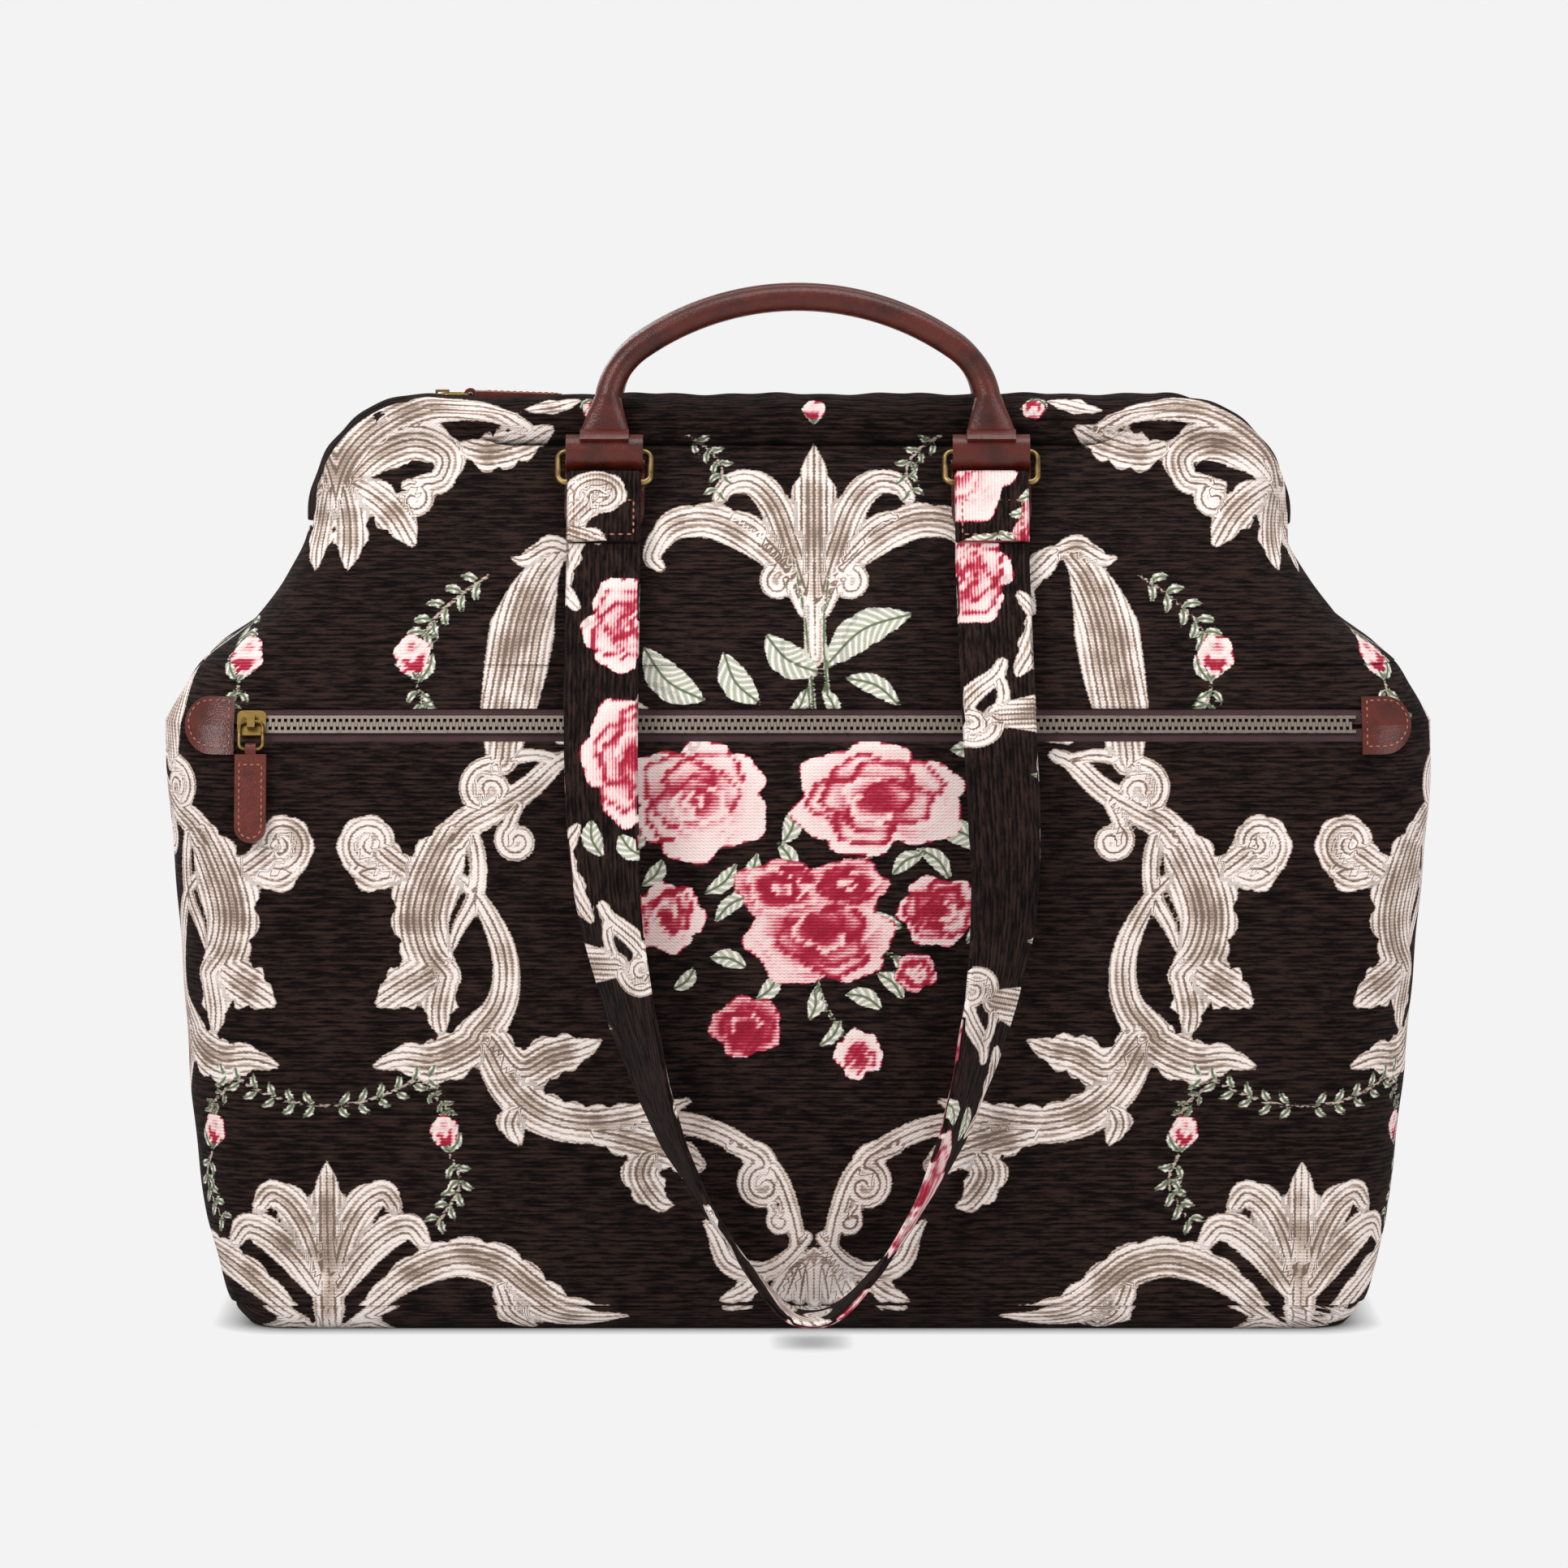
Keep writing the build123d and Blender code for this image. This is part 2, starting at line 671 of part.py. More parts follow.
def pull_ring_shape():
    """Wire ring that hangs from its top wire, which lies on the origin along x."""
    path = (Pos(0, -pull_ring_length / 2) * RectangleRounded(
        pull_ring_width, pull_ring_length, pull_ring_corner
    )).wire()
    section = Plane(origin=path @ 0, z_dir=path % 0) * Circle(wire_radius)
    return sweep(section, path=path)


def pull_shape():
    """Leather pull, folded round the ring's bottom wire, which lies on the origin along x."""
    eye_bore = wire_radius + pull_slack
    eye = Rot(0, 90, 0) * Cylinder(eye_bore + pull_ply, pull_ring_width - pull_eye_margin)
    nose = pull_width / 2
    straight = pull_length - nose
    leaf = Pos(0, -straight / 2 - 1.0) * Rectangle(pull_width, straight - 2.0) + Pos(
        0, -straight
    ) * Circle(nose)
    leaf = extrude(leaf, amount=pull_ply, both=True)
    slot = Rot(0, 90, 0) * Cylinder(eye_bore, 2 * pull_width)
    neck = Pos(0, -pull_neck / 2, 0) * Box(pull_ring_width - pull_eye_margin, pull_neck, 2 * pull_ply)
    return (leaf + eye + neck) - slot


def upright_plane(x, y, z, lean):
    """x across the bag, y up and leaning back by lean degrees, z towards the front."""
    normal = (0, -cos(radians(lean)), sin(radians(lean)))
    return Plane(origin=(x, y, z), x_dir=(1, 0, 0), z_dir=normal)


def pocket_slider():
    height = wire_height(chain_height)
    wire_y = -zip_half_depth - height * cos(radians(zip_lean))
    wire_z = zip_z + height * sin(radians(zip_lean))
    ring_lean = zip_lean - pull_ring_lean_change
    ring_place = upright_plane(slider_start_x, wire_y, wire_z, ring_lean)
    eye_y = wire_y - pull_ring_length * sin(radians(ring_lean))
    eye_z = wire_z - pull_ring_length * cos(radians(ring_lean))
    print("pocket pull wire", round(wire_y, 3), round(wire_z, 3))
    print("pocket pull eye", round(eye_y, 3), round(eye_z, 3))
    return {
        "pocket_slider": zip_plane
        * Pos(slider_start_x, 0, 0)
        * slider_shape(chain_width, chain_height, pocket_flange_reach, 0),
        "pocket_pull_ring": ring_place * pull_ring_shape(),
        "pocket_pull": upright_plane(slider_start_x, eye_y, eye_z, pull_lean) * pull_shape(),
    }


def mouth_slider():
    """The pull lies along the valley between the sleeves."""
    chain = 2 * (sleeve_y - sleeve_radius - cloth_gap)
    chain_z = sleeve_z + mouth_tape_rise + mouth_bead / 2
    wire_z = chain_z + wire_height(mouth_bead)
    along = Plane(origin=(mouth_slider_start_x, 0, wire_z), x_dir=(0, 1, 0), z_dir=(0, 0, 1))
    tip = Plane(
        origin=(mouth_slider_start_x + pull_ring_length, 0, wire_z),
        x_dir=(0, 1, 0),
        z_dir=(sin(radians(mouth_pull_droop)), 0, cos(radians(mouth_pull_droop))),
    )
    print("mouth pull wire z", round(wire_z, 3))
    return {
        "mouth_slider": Pos(mouth_slider_start_x, 0, chain_z)
        * slider_shape(chain, mouth_bead, mouth_flange_reach, 90),
        "mouth_pull_ring": along * pull_ring_shape(),
        "mouth_pull": tip * pull_shape(),
    }


# All nodes

parts = {}
parts.update(fabric_body())
parts.update(inner_layers())
parts.update(pocket_zip())
parts.update(upper_body())

for name, piece in mouth_half().items():
    if name.startswith("rivet"):
        parts["frame_" + name] = piece
    else:
        parts["front_" + name] = piece
        parts["rear_" + name] = turned(piece)

left_x = -ring_spacing / 2
right_x = ring_spacing / 2
for name, make in (("anchor", anchor), ("ring", ring)):
    parts[f"front_{name}_left"] = make(left_x)
    parts[f"front_{name}_right"] = make(right_x)
    parts[f"rear_{name}_left"] = turned(make(right_x))
    parts[f"rear_{name}_right"] = turned(make(left_x))

front_strap = strap()
front_handle, front_core = handle()
for name, piece in (
    ("strap", front_strap),
    ("handle", front_handle),
    ("handle_core", front_core),
):
    parts["front_" + name] = piece
    parts["rear_" + name] = turned(piece)

parts.update(pocket_slider())
parts.update(mouth_slider())

os.makedirs("parts", exist_ok=True)
for name, piece in parts.items():
    export_step(piece if isinstance(piece, Part) else Part(piece.wrapped), f"parts/{name}.step")
print("roll centre", round(roll_y, 3), round(roll_z, 3))
print("ring bottom bar", round(bar_y, 3), round(bar_z, 3))
print("nodes", len(parts))
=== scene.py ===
import bpy
import bmesh
import numpy as np
from math import atan2, cos, hypot, pi, radians, sin
from mathutils import Matrix, Vector


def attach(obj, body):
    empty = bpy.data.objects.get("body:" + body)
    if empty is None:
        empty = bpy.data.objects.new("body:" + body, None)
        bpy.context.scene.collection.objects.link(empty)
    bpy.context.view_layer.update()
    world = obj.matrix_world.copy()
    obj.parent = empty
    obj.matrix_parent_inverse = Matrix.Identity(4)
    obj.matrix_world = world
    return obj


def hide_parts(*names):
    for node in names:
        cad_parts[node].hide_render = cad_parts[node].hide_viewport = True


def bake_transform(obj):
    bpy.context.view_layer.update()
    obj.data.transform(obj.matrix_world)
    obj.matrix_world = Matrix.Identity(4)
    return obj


# Framed carpet bag: chenille jacquard body, hinged frame in fabric sleeves, rolled handles,
# shoulder straps on brass rings and a zipped front pocket. Lengths are in mm until a mesh is
# finished, when it is scaled to metres.
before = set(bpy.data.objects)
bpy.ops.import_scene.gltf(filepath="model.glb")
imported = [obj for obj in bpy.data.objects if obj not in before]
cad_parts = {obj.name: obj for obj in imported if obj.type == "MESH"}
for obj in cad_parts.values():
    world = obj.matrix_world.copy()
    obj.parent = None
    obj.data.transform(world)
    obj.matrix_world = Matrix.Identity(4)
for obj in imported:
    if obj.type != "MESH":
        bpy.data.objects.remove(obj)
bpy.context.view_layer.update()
mm = 0.001

view = {
    "aim": (-5.4, -97.0, 212.7), "distance": 2500.0, "elevation": 5.8, "lens": 150.4, "sensor": 36.0,
    "near": 0.1, "far": 50,  # metres
}
tilt = radians(view["elevation"])
back = Vector((0, -cos(tilt), sin(tilt)))
cameraData = bpy.data.cameras.new("camera")
cameraData.lens, cameraData.sensor_width = view["lens"], view["sensor"]
cameraData.clip_start, cameraData.clip_end = view["near"], view["far"]
camera = bpy.data.objects.new("camera", cameraData)
camera.location = Vector(view["aim"]) * mm + back * view["distance"] * mm
camera.rotation_euler = back.to_track_quat("Z", "Y").to_euler()
bpy.context.scene.collection.objects.link(camera)
bpy.context.scene.camera = camera
bpy.context.scene.view_settings.view_transform = "Standard"

# soft studio boxes: place and size in metres, watts
lights = {
    "keyLeft": ((-1.3, -1.7, 1.5), (1.0, 1.0), 26), "fillRight": ((1.7, -1.6, 0.9), (1.2, 1.2), 13),
    "topStrip": ((0.1, -0.2, 2.0), (1.6, 0.7), 14), "rearLeft": ((-1.2, 1.6, 1.3), (1.0, 1.0), 14),
}
lightTarget = Vector((0, 0, 0.2))
for name, (place, size, power) in lights.items():
    data = bpy.data.lights.new(name, "AREA")
    data.shape = "RECTANGLE"
    data.size, data.size_y = size
    data.energy = power
    light = bpy.data.objects.new(name, data)
    light.location = place
    light.rotation_euler = (Vector(place) - lightTarget).to_track_quat("Z", "Y").to_euler()
    bpy.context.scene.collection.objects.link(light)
print("camera and lights ready")


# An sRGB hex colour as linear RGBA.
def toLinear(code):
    parts = [int(code[i:i + 2], 16) / 255 for i in (1, 3, 5)]
    return tuple(p / 12.92 if p <= 0.04045 else ((p + 0.055) / 1.055) ** 2.4 for p in parts) + (1.0,)


# Adds one node with its settings. Its inputs are values, nodes or sockets, in order or by name.
def put(tree, kind, inputs=(), operation=None, stops=(), **settings):
    made = tree.nodes.new("ShaderNode" + kind)
    if operation:
        made.operation = operation
    for key, value in settings.items():
        setattr(made, key, value)
    for _ in stops[2:]:
        made.color_ramp.elements.new(0.5)
    for (position, colour), element in zip(stops, made.color_ramp.elements if stops else ()):
        element.position = position
        element.color = toLinear(colour)
    for key, value in inputs.items() if isinstance(inputs, dict) else enumerate(inputs):
        if isinstance(value, bpy.types.Node):
            value = value.outputs[0]
        if isinstance(value, bpy.types.NodeSocket):
            tree.links.new(value, made.inputs[key])
        else:
            made.inputs[key].default_value = value
    return made


# A material whose shader has these constant values, with its tree and shader.
def newMaterial(name, **fixed):
    made = bpy.data.materials.new(name)
    made.use_nodes = True
    shader = made.node_tree.nodes["Principled BSDF"]
    for key, value in fixed.items():
        shader.inputs[key].default_value = value
    return made, made.node_tree, shader


def plugIn(tree, shader, **sockets):
    for key, socket in sockets.items():
        tree.links.new(socket, shader.inputs[key.replace("_", " ")])


# Chenille jacquard: soft cut pile for the ground, flat woven floats for the figures, so the
# ground drinks light and the figures show a fine dull sheen.
tapestryLook = {
    "pile": ("#0a0605", "#1c1312", "#32231f"), "cream": "#efe3de", "beige": "#c0ac9f", "taupe": "#77655a",
    "petals": ((0.0, "#8a182c"), (0.3, "#ab2a40"), (0.46, "#cf6f7c"), (0.6, "#e8bdbc"), (0.9, "#f0dfda")),
    "sage": "#b9beaa", "sageDark": "#656d55",
    # mm from one to the next; the real threads are 0.4 mm apart and drawn coarser
    "ribPitch": 1.7, "threadPitch": 1.25, "flutePitch": 2.5, "warpPitch": 1.5, "veinPitch": 3.4,
    "relief": 0.0011,
    "shader": {"Roughness": 0.85, "Sheen Weight": 0.025, "Sheen Roughness": 0.5, "Specular IOR Level": 0.06},
}


def tapestryMaterial(name, plain=False):
    look = tapestryLook
    made, tree, shader = newMaterial(name, **look["shader"])
    weave = put(tree, "Attribute", attribute_name="weave").outputs["Vector"]
    u, v, _ = put(tree, "SeparateXYZ", [weave]).outputs

    # waves between -1 and 1 along the cloth, and clouds stretched along it
    def waves(place, pitch):
        return put(tree, "Math", [put(tree, "Math", [place, 2 * pi / pitch], "MULTIPLY")], "SINE")

    def clouds(stretch, detail, **more):
        place = put(tree, "Mapping", {0: weave, "Scale": stretch})
        return put(tree, "TexNoise", {"Vector": place, "Scale": 1.0, "Detail": detail, **more}).outputs[0]

    # chenille ribs lie along u: broken tufts 6 to 20 mm long and one or two ribs tall, with
    # dark gaps where the pile parts, which are painted shade: the pile's colour follows its height
    tufts = clouds((0.085, 0.6, 1.0), 4.0, Roughness=0.68)
    patches = clouds((0.03, 0.05, 1.0), 2.0)
    wobble = put(tree, "Math", [tufts, 7.0], "MULTIPLY")
    phase = put(tree, "Math", [v, 2 * pi / look["ribPitch"], wobble], "MULTIPLY_ADD")
    rib = put(tree, "Math", [put(tree, "Math", [phase], "SINE"), 0.5, 0.5], "MULTIPLY_ADD")
    streak = put(tree, "MapRange", {"Value": tufts, "From Min": 0.4, "From Max": 0.58})
    depth = put(tree, "Math", [rib, 0.35, put(tree, "Math", [streak, 0.65], "MULTIPLY")], "MULTIPLY_ADD")
    patchy = put(tree, "Math", [patches, 0.5, -0.25], "MULTIPLY_ADD")
    tone = put(tree, "Math", [depth, patchy], "ADD")
    # painted shade: the ground darkens where the pile is lower, in the gaps and rib grooves; the patches are
    # uneven tone
    ground = put(tree, "ValToRGB", [tone], stops=list(zip((0.16, 0.48, 0.85), look["pile"])))
    if plain:
        bump = put(tree, "Bump", {"Height": depth, "Strength": 0.7, "Distance": look["relief"]})
        plugIn(tree, shader, Base_Color=ground.outputs[0], Normal=bump.outputs[0])
        return made

    # the edge of a figure steps from pick to pick, which the rows of this noise give
    rows = clouds((0.5, 1.35, 1.0), 1.0)
    ragged = put(tree, "Math", [rows, 1.5, -0.75], "MULTIPLY_ADD")

    # flat floats in both directions
    pick = waves(v, look["threadPitch"])
    end = waves(u, 1.3 * look["threadPitch"])
    floats = put(tree, "Math", [pick, end], "MULTIPLY")

    # how far inside a figure, its mask, and the two measures stored with it
    def figure(attribute):
        data = put(tree, "Attribute", attribute_name=attribute).outputs["Vector"]
        distance, first, second = put(tree, "SeparateXYZ", [data]).outputs
        inside = put(tree, "Math", [distance, ragged], "ADD")
        mask = put(tree, "MapRange", {"Value": inside, "From Min": -0.2, "From Max": 0.2})
        return inside, mask, first, second

    # scrolls and palmettes: cream floats with taupe flutes that run along the leaf, and thin
    # warp lines between the flutes
    inside, scrollMask, across, _ = figure("scroll")
    bend = put(tree, "Math", [rows, 1.2, across], "MULTIPLY_ADD")
    wave = put(tree, "Math", [waves(bend, look["flutePitch"]), 0.5, 0.5], "MULTIPLY_ADD")
    flute = put(tree, "Math", [put(tree, "Math", [wave, 2.2], "POWER"), 2.0, -1.0], "MULTIPLY_ADD")
    fade = clouds((0.07, 0.07, 1.0), 1.0)
    hatch = put(tree, "Math", [put(tree, "Math", [pick, 0.3, flute], "MULTIPLY_ADD"), 0.75], "MULTIPLY")
    hatch = put(tree, "Math", [waves(bend, look["warpPitch"]), 0.25, hatch], "MULTIPLY_ADD")
    core = put(tree, "MapRange", {
        "Value": inside, "From Min": 1.0, "From Max": 6.5, "To Min": -0.4, "To Max": 0.6})
    cloudy = put(tree, "Math", [fade, 2.6, -1.2], "MULTIPLY_ADD")
    shade = put(tree, "Math", [hatch, put(tree, "Math", [core, cloudy], "ADD")], "ADD")
    body = put(tree, "ValToRGB", [put(tree, "Math", [shade, 0.5, 0.5], "MULTIPLY_ADD")], stops=[
        (0.0, look["cream"]), (0.2, look["cream"]), (0.5, look["beige"]), (0.95, look["taupe"])])
    rim = put(tree, "MapRange", {"Value": inside, "From Min": 0.1, "From Max": 0.8})
    scroll = put(tree, "Mix", {0: rim, 6: toLinear(look["beige"]), 7: body}, data_type="RGBA").outputs[2]
    base = put(tree, "Mix", {0: scrollMask, 6: ground, 7: scroll}, data_type="RGBA").outputs[2]

    # leaves of the rose sprays, in sage with a dark midrib and side veins
    _, leafMask, across, along = figure("leaf")
    aside = put(tree, "Math", [across], "ABSOLUTE")
    midrib = put(tree, "MapRange", {"Value": aside, "From Min": 0.25, "From Max": 0.8})
    slant = put(tree, "Math", [along, aside], "ADD")
    vein = put(tree, "Math", [waves(slant, look["veinPitch"]), 0.5, 0.5], "MULTIPLY_ADD")
    leafTone = put(tree, "Math", [put(tree, "Math", [vein, 0.35], "MAXIMUM"), midrib], "MULTIPLY")
    leafBody = put(tree, "ValToRGB", [leafTone], stops=[
        (0.0, look["sageDark"]), (0.42, look["sage"]), (0.9, look["cream"])])
    base = put(tree, "Mix", {0: leafMask, 6: base, 7: leafBody}, data_type="RGBA").outputs[2]

    # roses: each petal runs from red in the fold to pale pink at its rim, hatched by the picks
    _, roseMask, petal, _ = figure("rose")
    uneven = put(tree, "Math", [rows, 0.3, -0.15], "MULTIPLY_ADD")
    petalTone = put(tree, "Math", [petal, put(tree, "Math", [pick, 0.13, uneven], "MULTIPLY_ADD")], "ADD")
    petals = put(tree, "ValToRGB", [petalTone], stops=look["petals"])
    base = put(tree, "Mix", {0: roseMask, 6: base, 7: petals}, data_type="RGBA").outputs[2]

    # figures stand a little proud, the pile is the deeper texture
    figured = put(tree, "Math", [put(tree, "Math", [scrollMask, leafMask], "MAXIMUM"), roseMask], "MAXIMUM")
    swell = put(tree, "Math", [shade, -0.16, 0.95], "MULTIPLY_ADD")
    woven = put(tree, "Math", [floats, 0.12, swell], "MULTIPLY_ADD")
    height = put(tree, "Mix", {0: figured, 2: depth, 3: woven}, data_type="FLOAT")
    rough = put(tree, "Mix", {0: figured, 2: 0.95, 3: 0.6}, data_type="FLOAT")
    bump = put(tree, "Bump", {"Height": height, "Strength": 0.75, "Distance": look["relief"]})
    plugIn(tree, shader, Base_Color=base, Roughness=rough.outputs[0], Normal=bump.outputs[0])
    return made


# Chrome-tanned cowhide with a glazed finish: fine pebbled grain under a hard gloss, mottled paler
# and darker in soft clouds.
def leatherMaterial(name, light, dark, coat):
    made, tree, shader = newMaterial(name, **{
        "Coat Weight": coat, "Coat Roughness": 0.13, "Specular IOR Level": 0.3, "IOR": 1.45})
    place = put(tree, "TexCoord").outputs["Object"]
    grain = put(tree, "TexVoronoi", {"Vector": place, "Scale": 1100.0}, feature="DISTANCE_TO_EDGE")
    cloud = put(tree, "TexNoise", {"Vector": place, "Scale": 55.0, "Detail": 4.0, "Roughness": 0.6})
    crease = put(tree, "TexNoise", {"Vector": place, "Scale": 230.0, "Detail": 3.0, "Distortion": 1.5})
    colour = put(tree, "ValToRGB", [cloud], stops=[(0.3, dark), (0.5, light), (0.75, dark)])
    rough = put(tree, "MapRange", {"Value": crease, "To Min": 0.24, "To Max": 0.46})
    fine = put(tree, "MapRange", {"Value": grain, "From Max": 0.25})
    height = put(tree, "Math", [fine, 0.3, crease], "MULTIPLY_ADD")
    bump = put(tree, "Bump", {"Height": height, "Strength": 0.22, "Distance": 0.0006}).outputs[0]
    plugIn(tree, shader, Base_Color=colour.outputs[0], Roughness=rough.outputs[0], Normal=bump,
           Coat_Normal=bump)
    return made


# Tarnished metal: bright where it rubs on sharp edges, dark patina in patches, drawn in one direction.
def metalMaterial(name, bright, dark, roughLow, roughHigh, speckle):
    made, tree, shader = newMaterial(name, Metallic=1.0)
    place = put(tree, "TexCoord").outputs["Object"]
    patina = put(tree, "TexNoise", {"Vector": place, "Scale": speckle, "Detail": 5.0, "Roughness": 0.65})
    drawn = put(tree, "Mapping", {0: place, "Scale": (300, 1800, 1800)})
    scratch = put(tree, "TexNoise", {"Vector": drawn, "Scale": 1.0, "Detail": 2.0})
    edge = put(tree, "NewGeometry").outputs["Pointiness"]
    wear = put(tree, "MapRange", {"Value": edge, "From Min": 0.5, "From Max": 0.62, "To Max": 0.5})
    tone = put(tree, "Math", [patina, wear], "ADD")
    colour = put(tree, "ValToRGB", [tone], stops=[(0.36, dark), (0.62, bright), (1.0, bright)])
    rough = put(tree, "MapRange", {"Value": scratch, "To Min": roughLow, "To Max": roughHigh})
    bump = put(tree, "Bump", {"Height": scratch, "Strength": 0.12, "Distance": 0.0003})
    plugIn(tree, shader, Base_Color=colour.outputs[0], Roughness=rough.outputs[0], Normal=bump.outputs[0])
    return made


# Plain woven yarn: matt, over-and-under checks with uneven dye.
def wovenMaterial(name, light, dark, pitch, sheen=0.15, diagonal=False):
    made, tree, shader = newMaterial(name, **{
        "Roughness": 0.85, "Sheen Weight": sheen, "Specular IOR Level": 0.25})
    place = put(tree, "TexCoord").outputs["Object"]
    turn = (0, pi / 4, 0) if diagonal else (0, 0, 0)
    x, y, z = put(tree, "SeparateXYZ", [put(tree, "Mapping", {0: place, "Rotation": turn})]).outputs
    step = 2 * pi / (pitch * mm)
    warp = put(tree, "Math", [put(tree, "Math", [x, step], "MULTIPLY")], "SINE")
    lean = put(tree, "Math", [z, y], "ADD")
    weft = put(tree, "Math", [put(tree, "Math", [lean, step], "MULTIPLY")], "SINE")
    check = put(tree, "Math", [put(tree, "Math", [warp, weft], "MULTIPLY"), 0.5, 0.5], "MULTIPLY_ADD")
    dye = put(tree, "TexNoise", {"Vector": place, "Scale": 90.0, "Detail": 3.0})
    tone = put(tree, "Math", [check, 0.5, put(tree, "Math", [dye, 0.5], "MULTIPLY")], "MULTIPLY_ADD")
    colour = put(tree, "ValToRGB", [tone], stops=[(0.2, dark), (0.75, light)])
    bump = put(tree, "Bump", {"Height": check, "Strength": 0.5, "Distance": 0.0005})
    plugIn(tree, shader, Base_Color=colour.outputs[0], Normal=bump.outputs[0])
    return made


tapestry = tapestryMaterial("chenilleJacquard")
plainChenille = tapestryMaterial("chenilleGround", plain=True)
thread = wovenMaterial("waxedThread", "#c98a72", "#96563f", 0.5, sheen=0.0)

# what each CAD node is made of: the first row with a word in the node's name
finishes = (
    (("handle_core",), wovenMaterial("twistedCottonCord", "#cfc6b4", "#a79d8b", 1.2)),
    (("pull_ring", "slider"), metalMaterial("rubbedBrass", "#8f7440", "#45351f", 0.22, 0.4, 350.0)),
    (("_pull",), leatherMaterial("glazedCowhidePull", "#602419", "#3f160f", 0.2)),
    (("handle", "anchor", "end_tab"), leatherMaterial("glazedCowhide", "#561d13", "#33100a", 0.3)),
    (("teeth",), metalMaterial("blackenedBrassTeeth", "#8c7f76", "#342c28", 0.38, 0.55, 500.0)),
    (("tape",), wovenMaterial("zipTapeTwill", "#5b4044", "#352326", 0.8, diagonal=True)),
    (("lining", "pocket_bag"), wovenMaterial("cottonLining", "#8a6a55", "#5f4637", 0.6)),
    (("padding",), wovenMaterial("needledFelt", "#9a9188", "#7c746b", 1.4)),
    (("board",), wovenMaterial("greyboard", "#8a7658", "#6d5c43", 2.0)),
    (("ring",), metalMaterial("antiqueBrass", "#9c8355", "#574732", 0.28, 0.45, 260.0)),
    (("frame",), metalMaterial("nickelPlatedSteel", "#b9b9bb", "#8b8b8e", 0.22, 0.38, 120.0)),
    (("",), tapestry),
)
for name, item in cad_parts.items():
    item.data.materials.clear()
    item.data.materials.append(next(made for words, made in finishes if any(word in name for word in words)))
print("materials ready")

# The cloth repeats every 381 mm and each half mirrors the other, as on a loom with a point
# draft. Only the rose spray is not mirrored. u runs across from the middle of the front, v up.
patternLook = {
    "middle": 6.3, "mirror": 187.3,
    "swell": 1.14, "edge": 0.2, "notch": 1.25,  # how much fuller and deeper cut the scrolls are drawn
    "slope": 0.096, "plane": 100,  # how much higher the cloth in front of this depth is cut
    "rearShift": 96,  # the rear is cut from the cloth this much further on
    "outside": -9.0,  # the distance stored where there is no figure
}


# A smooth line through the points.
def flowing(points, steps=7):
    p = np.array(points, float)
    p = np.vstack([2 * p[0] - p[1], p, 2 * p[-1] - p[-2]])
    out = []
    for i in range(1, len(p) - 2):
        for t in np.arange(steps) / steps:
            a, b, c, d = p[i - 1], p[i], p[i + 1], p[i + 2]
            out.append(0.5 * (2 * b + (c - a) * t + (2 * a - 5 * b + 4 * c - d) * t * t
                              + (3 * b - a - 3 * c + d) * t ** 3))
    out.append(p[-2])
    return np.array(out)


# Points of a volute that winds in from a start angle in degrees.
def spiral(middle, radius, start, turns, tight=0.22, steps=18):
    t = np.linspace(0, 1, steps)
    angle = np.radians(start) + 2 * pi * turns * t
    r = radius * (1 - (1 - tight) * t)
    return [(middle[0] + a * cos(b), middle[1] + a * sin(b)) for a, b in zip(r, angle)]


# Signed distance inside a tapering ribbon, with its place across and along the ribbon.
def ribbonField(place, line, widths, lobes=0, lobeDepth=0.0, side=0):
    reach = max(widths) * (1 + lobeDepth) + 4
    low, high = line.min(0) - reach, line.max(0) + reach
    near = np.where(((place >= low) & (place <= high)).all(1))[0]
    if not len(near):
        return near, None, None, None
    p = place[near]
    start, step = line[:-1], np.diff(line, axis=0)
    length = np.maximum(np.hypot(*step.T), 1e-6)
    run = np.concatenate([[0], np.cumsum(length)])
    best = np.full(len(p), 1e9)
    across, along = np.zeros(len(p)), np.zeros(len(p))
    for k in range(len(step)):
        d = p - start[k]
        t = np.clip((d @ step[k]) / length[k] ** 2, 0, 1)
        off = d - t[:, None] * step[k]
        dist = np.hypot(off[:, 0], off[:, 1])
        closer = dist < best
        sign = np.sign(step[k][0] * d[:, 1] - step[k][1] * d[:, 0])
        best = np.where(closer, dist, best)
        across = np.where(closer, dist * sign, across)
        along = np.where(closer, run[k] + t * length[k], along)
    share = along / run[-1]
    half = np.interp(share, np.linspace(0, 1, len(widths)), widths)
    if lobes:
        wave = np.abs(np.sin(pi * lobes * share)) ** 0.7
        swell = 1 - lobeDepth + lobeDepth * wave
        half = np.where(np.sign(across) * side >= 0, half * swell, half) if side else half * swell
    return near, half - np.abs(across), across, along


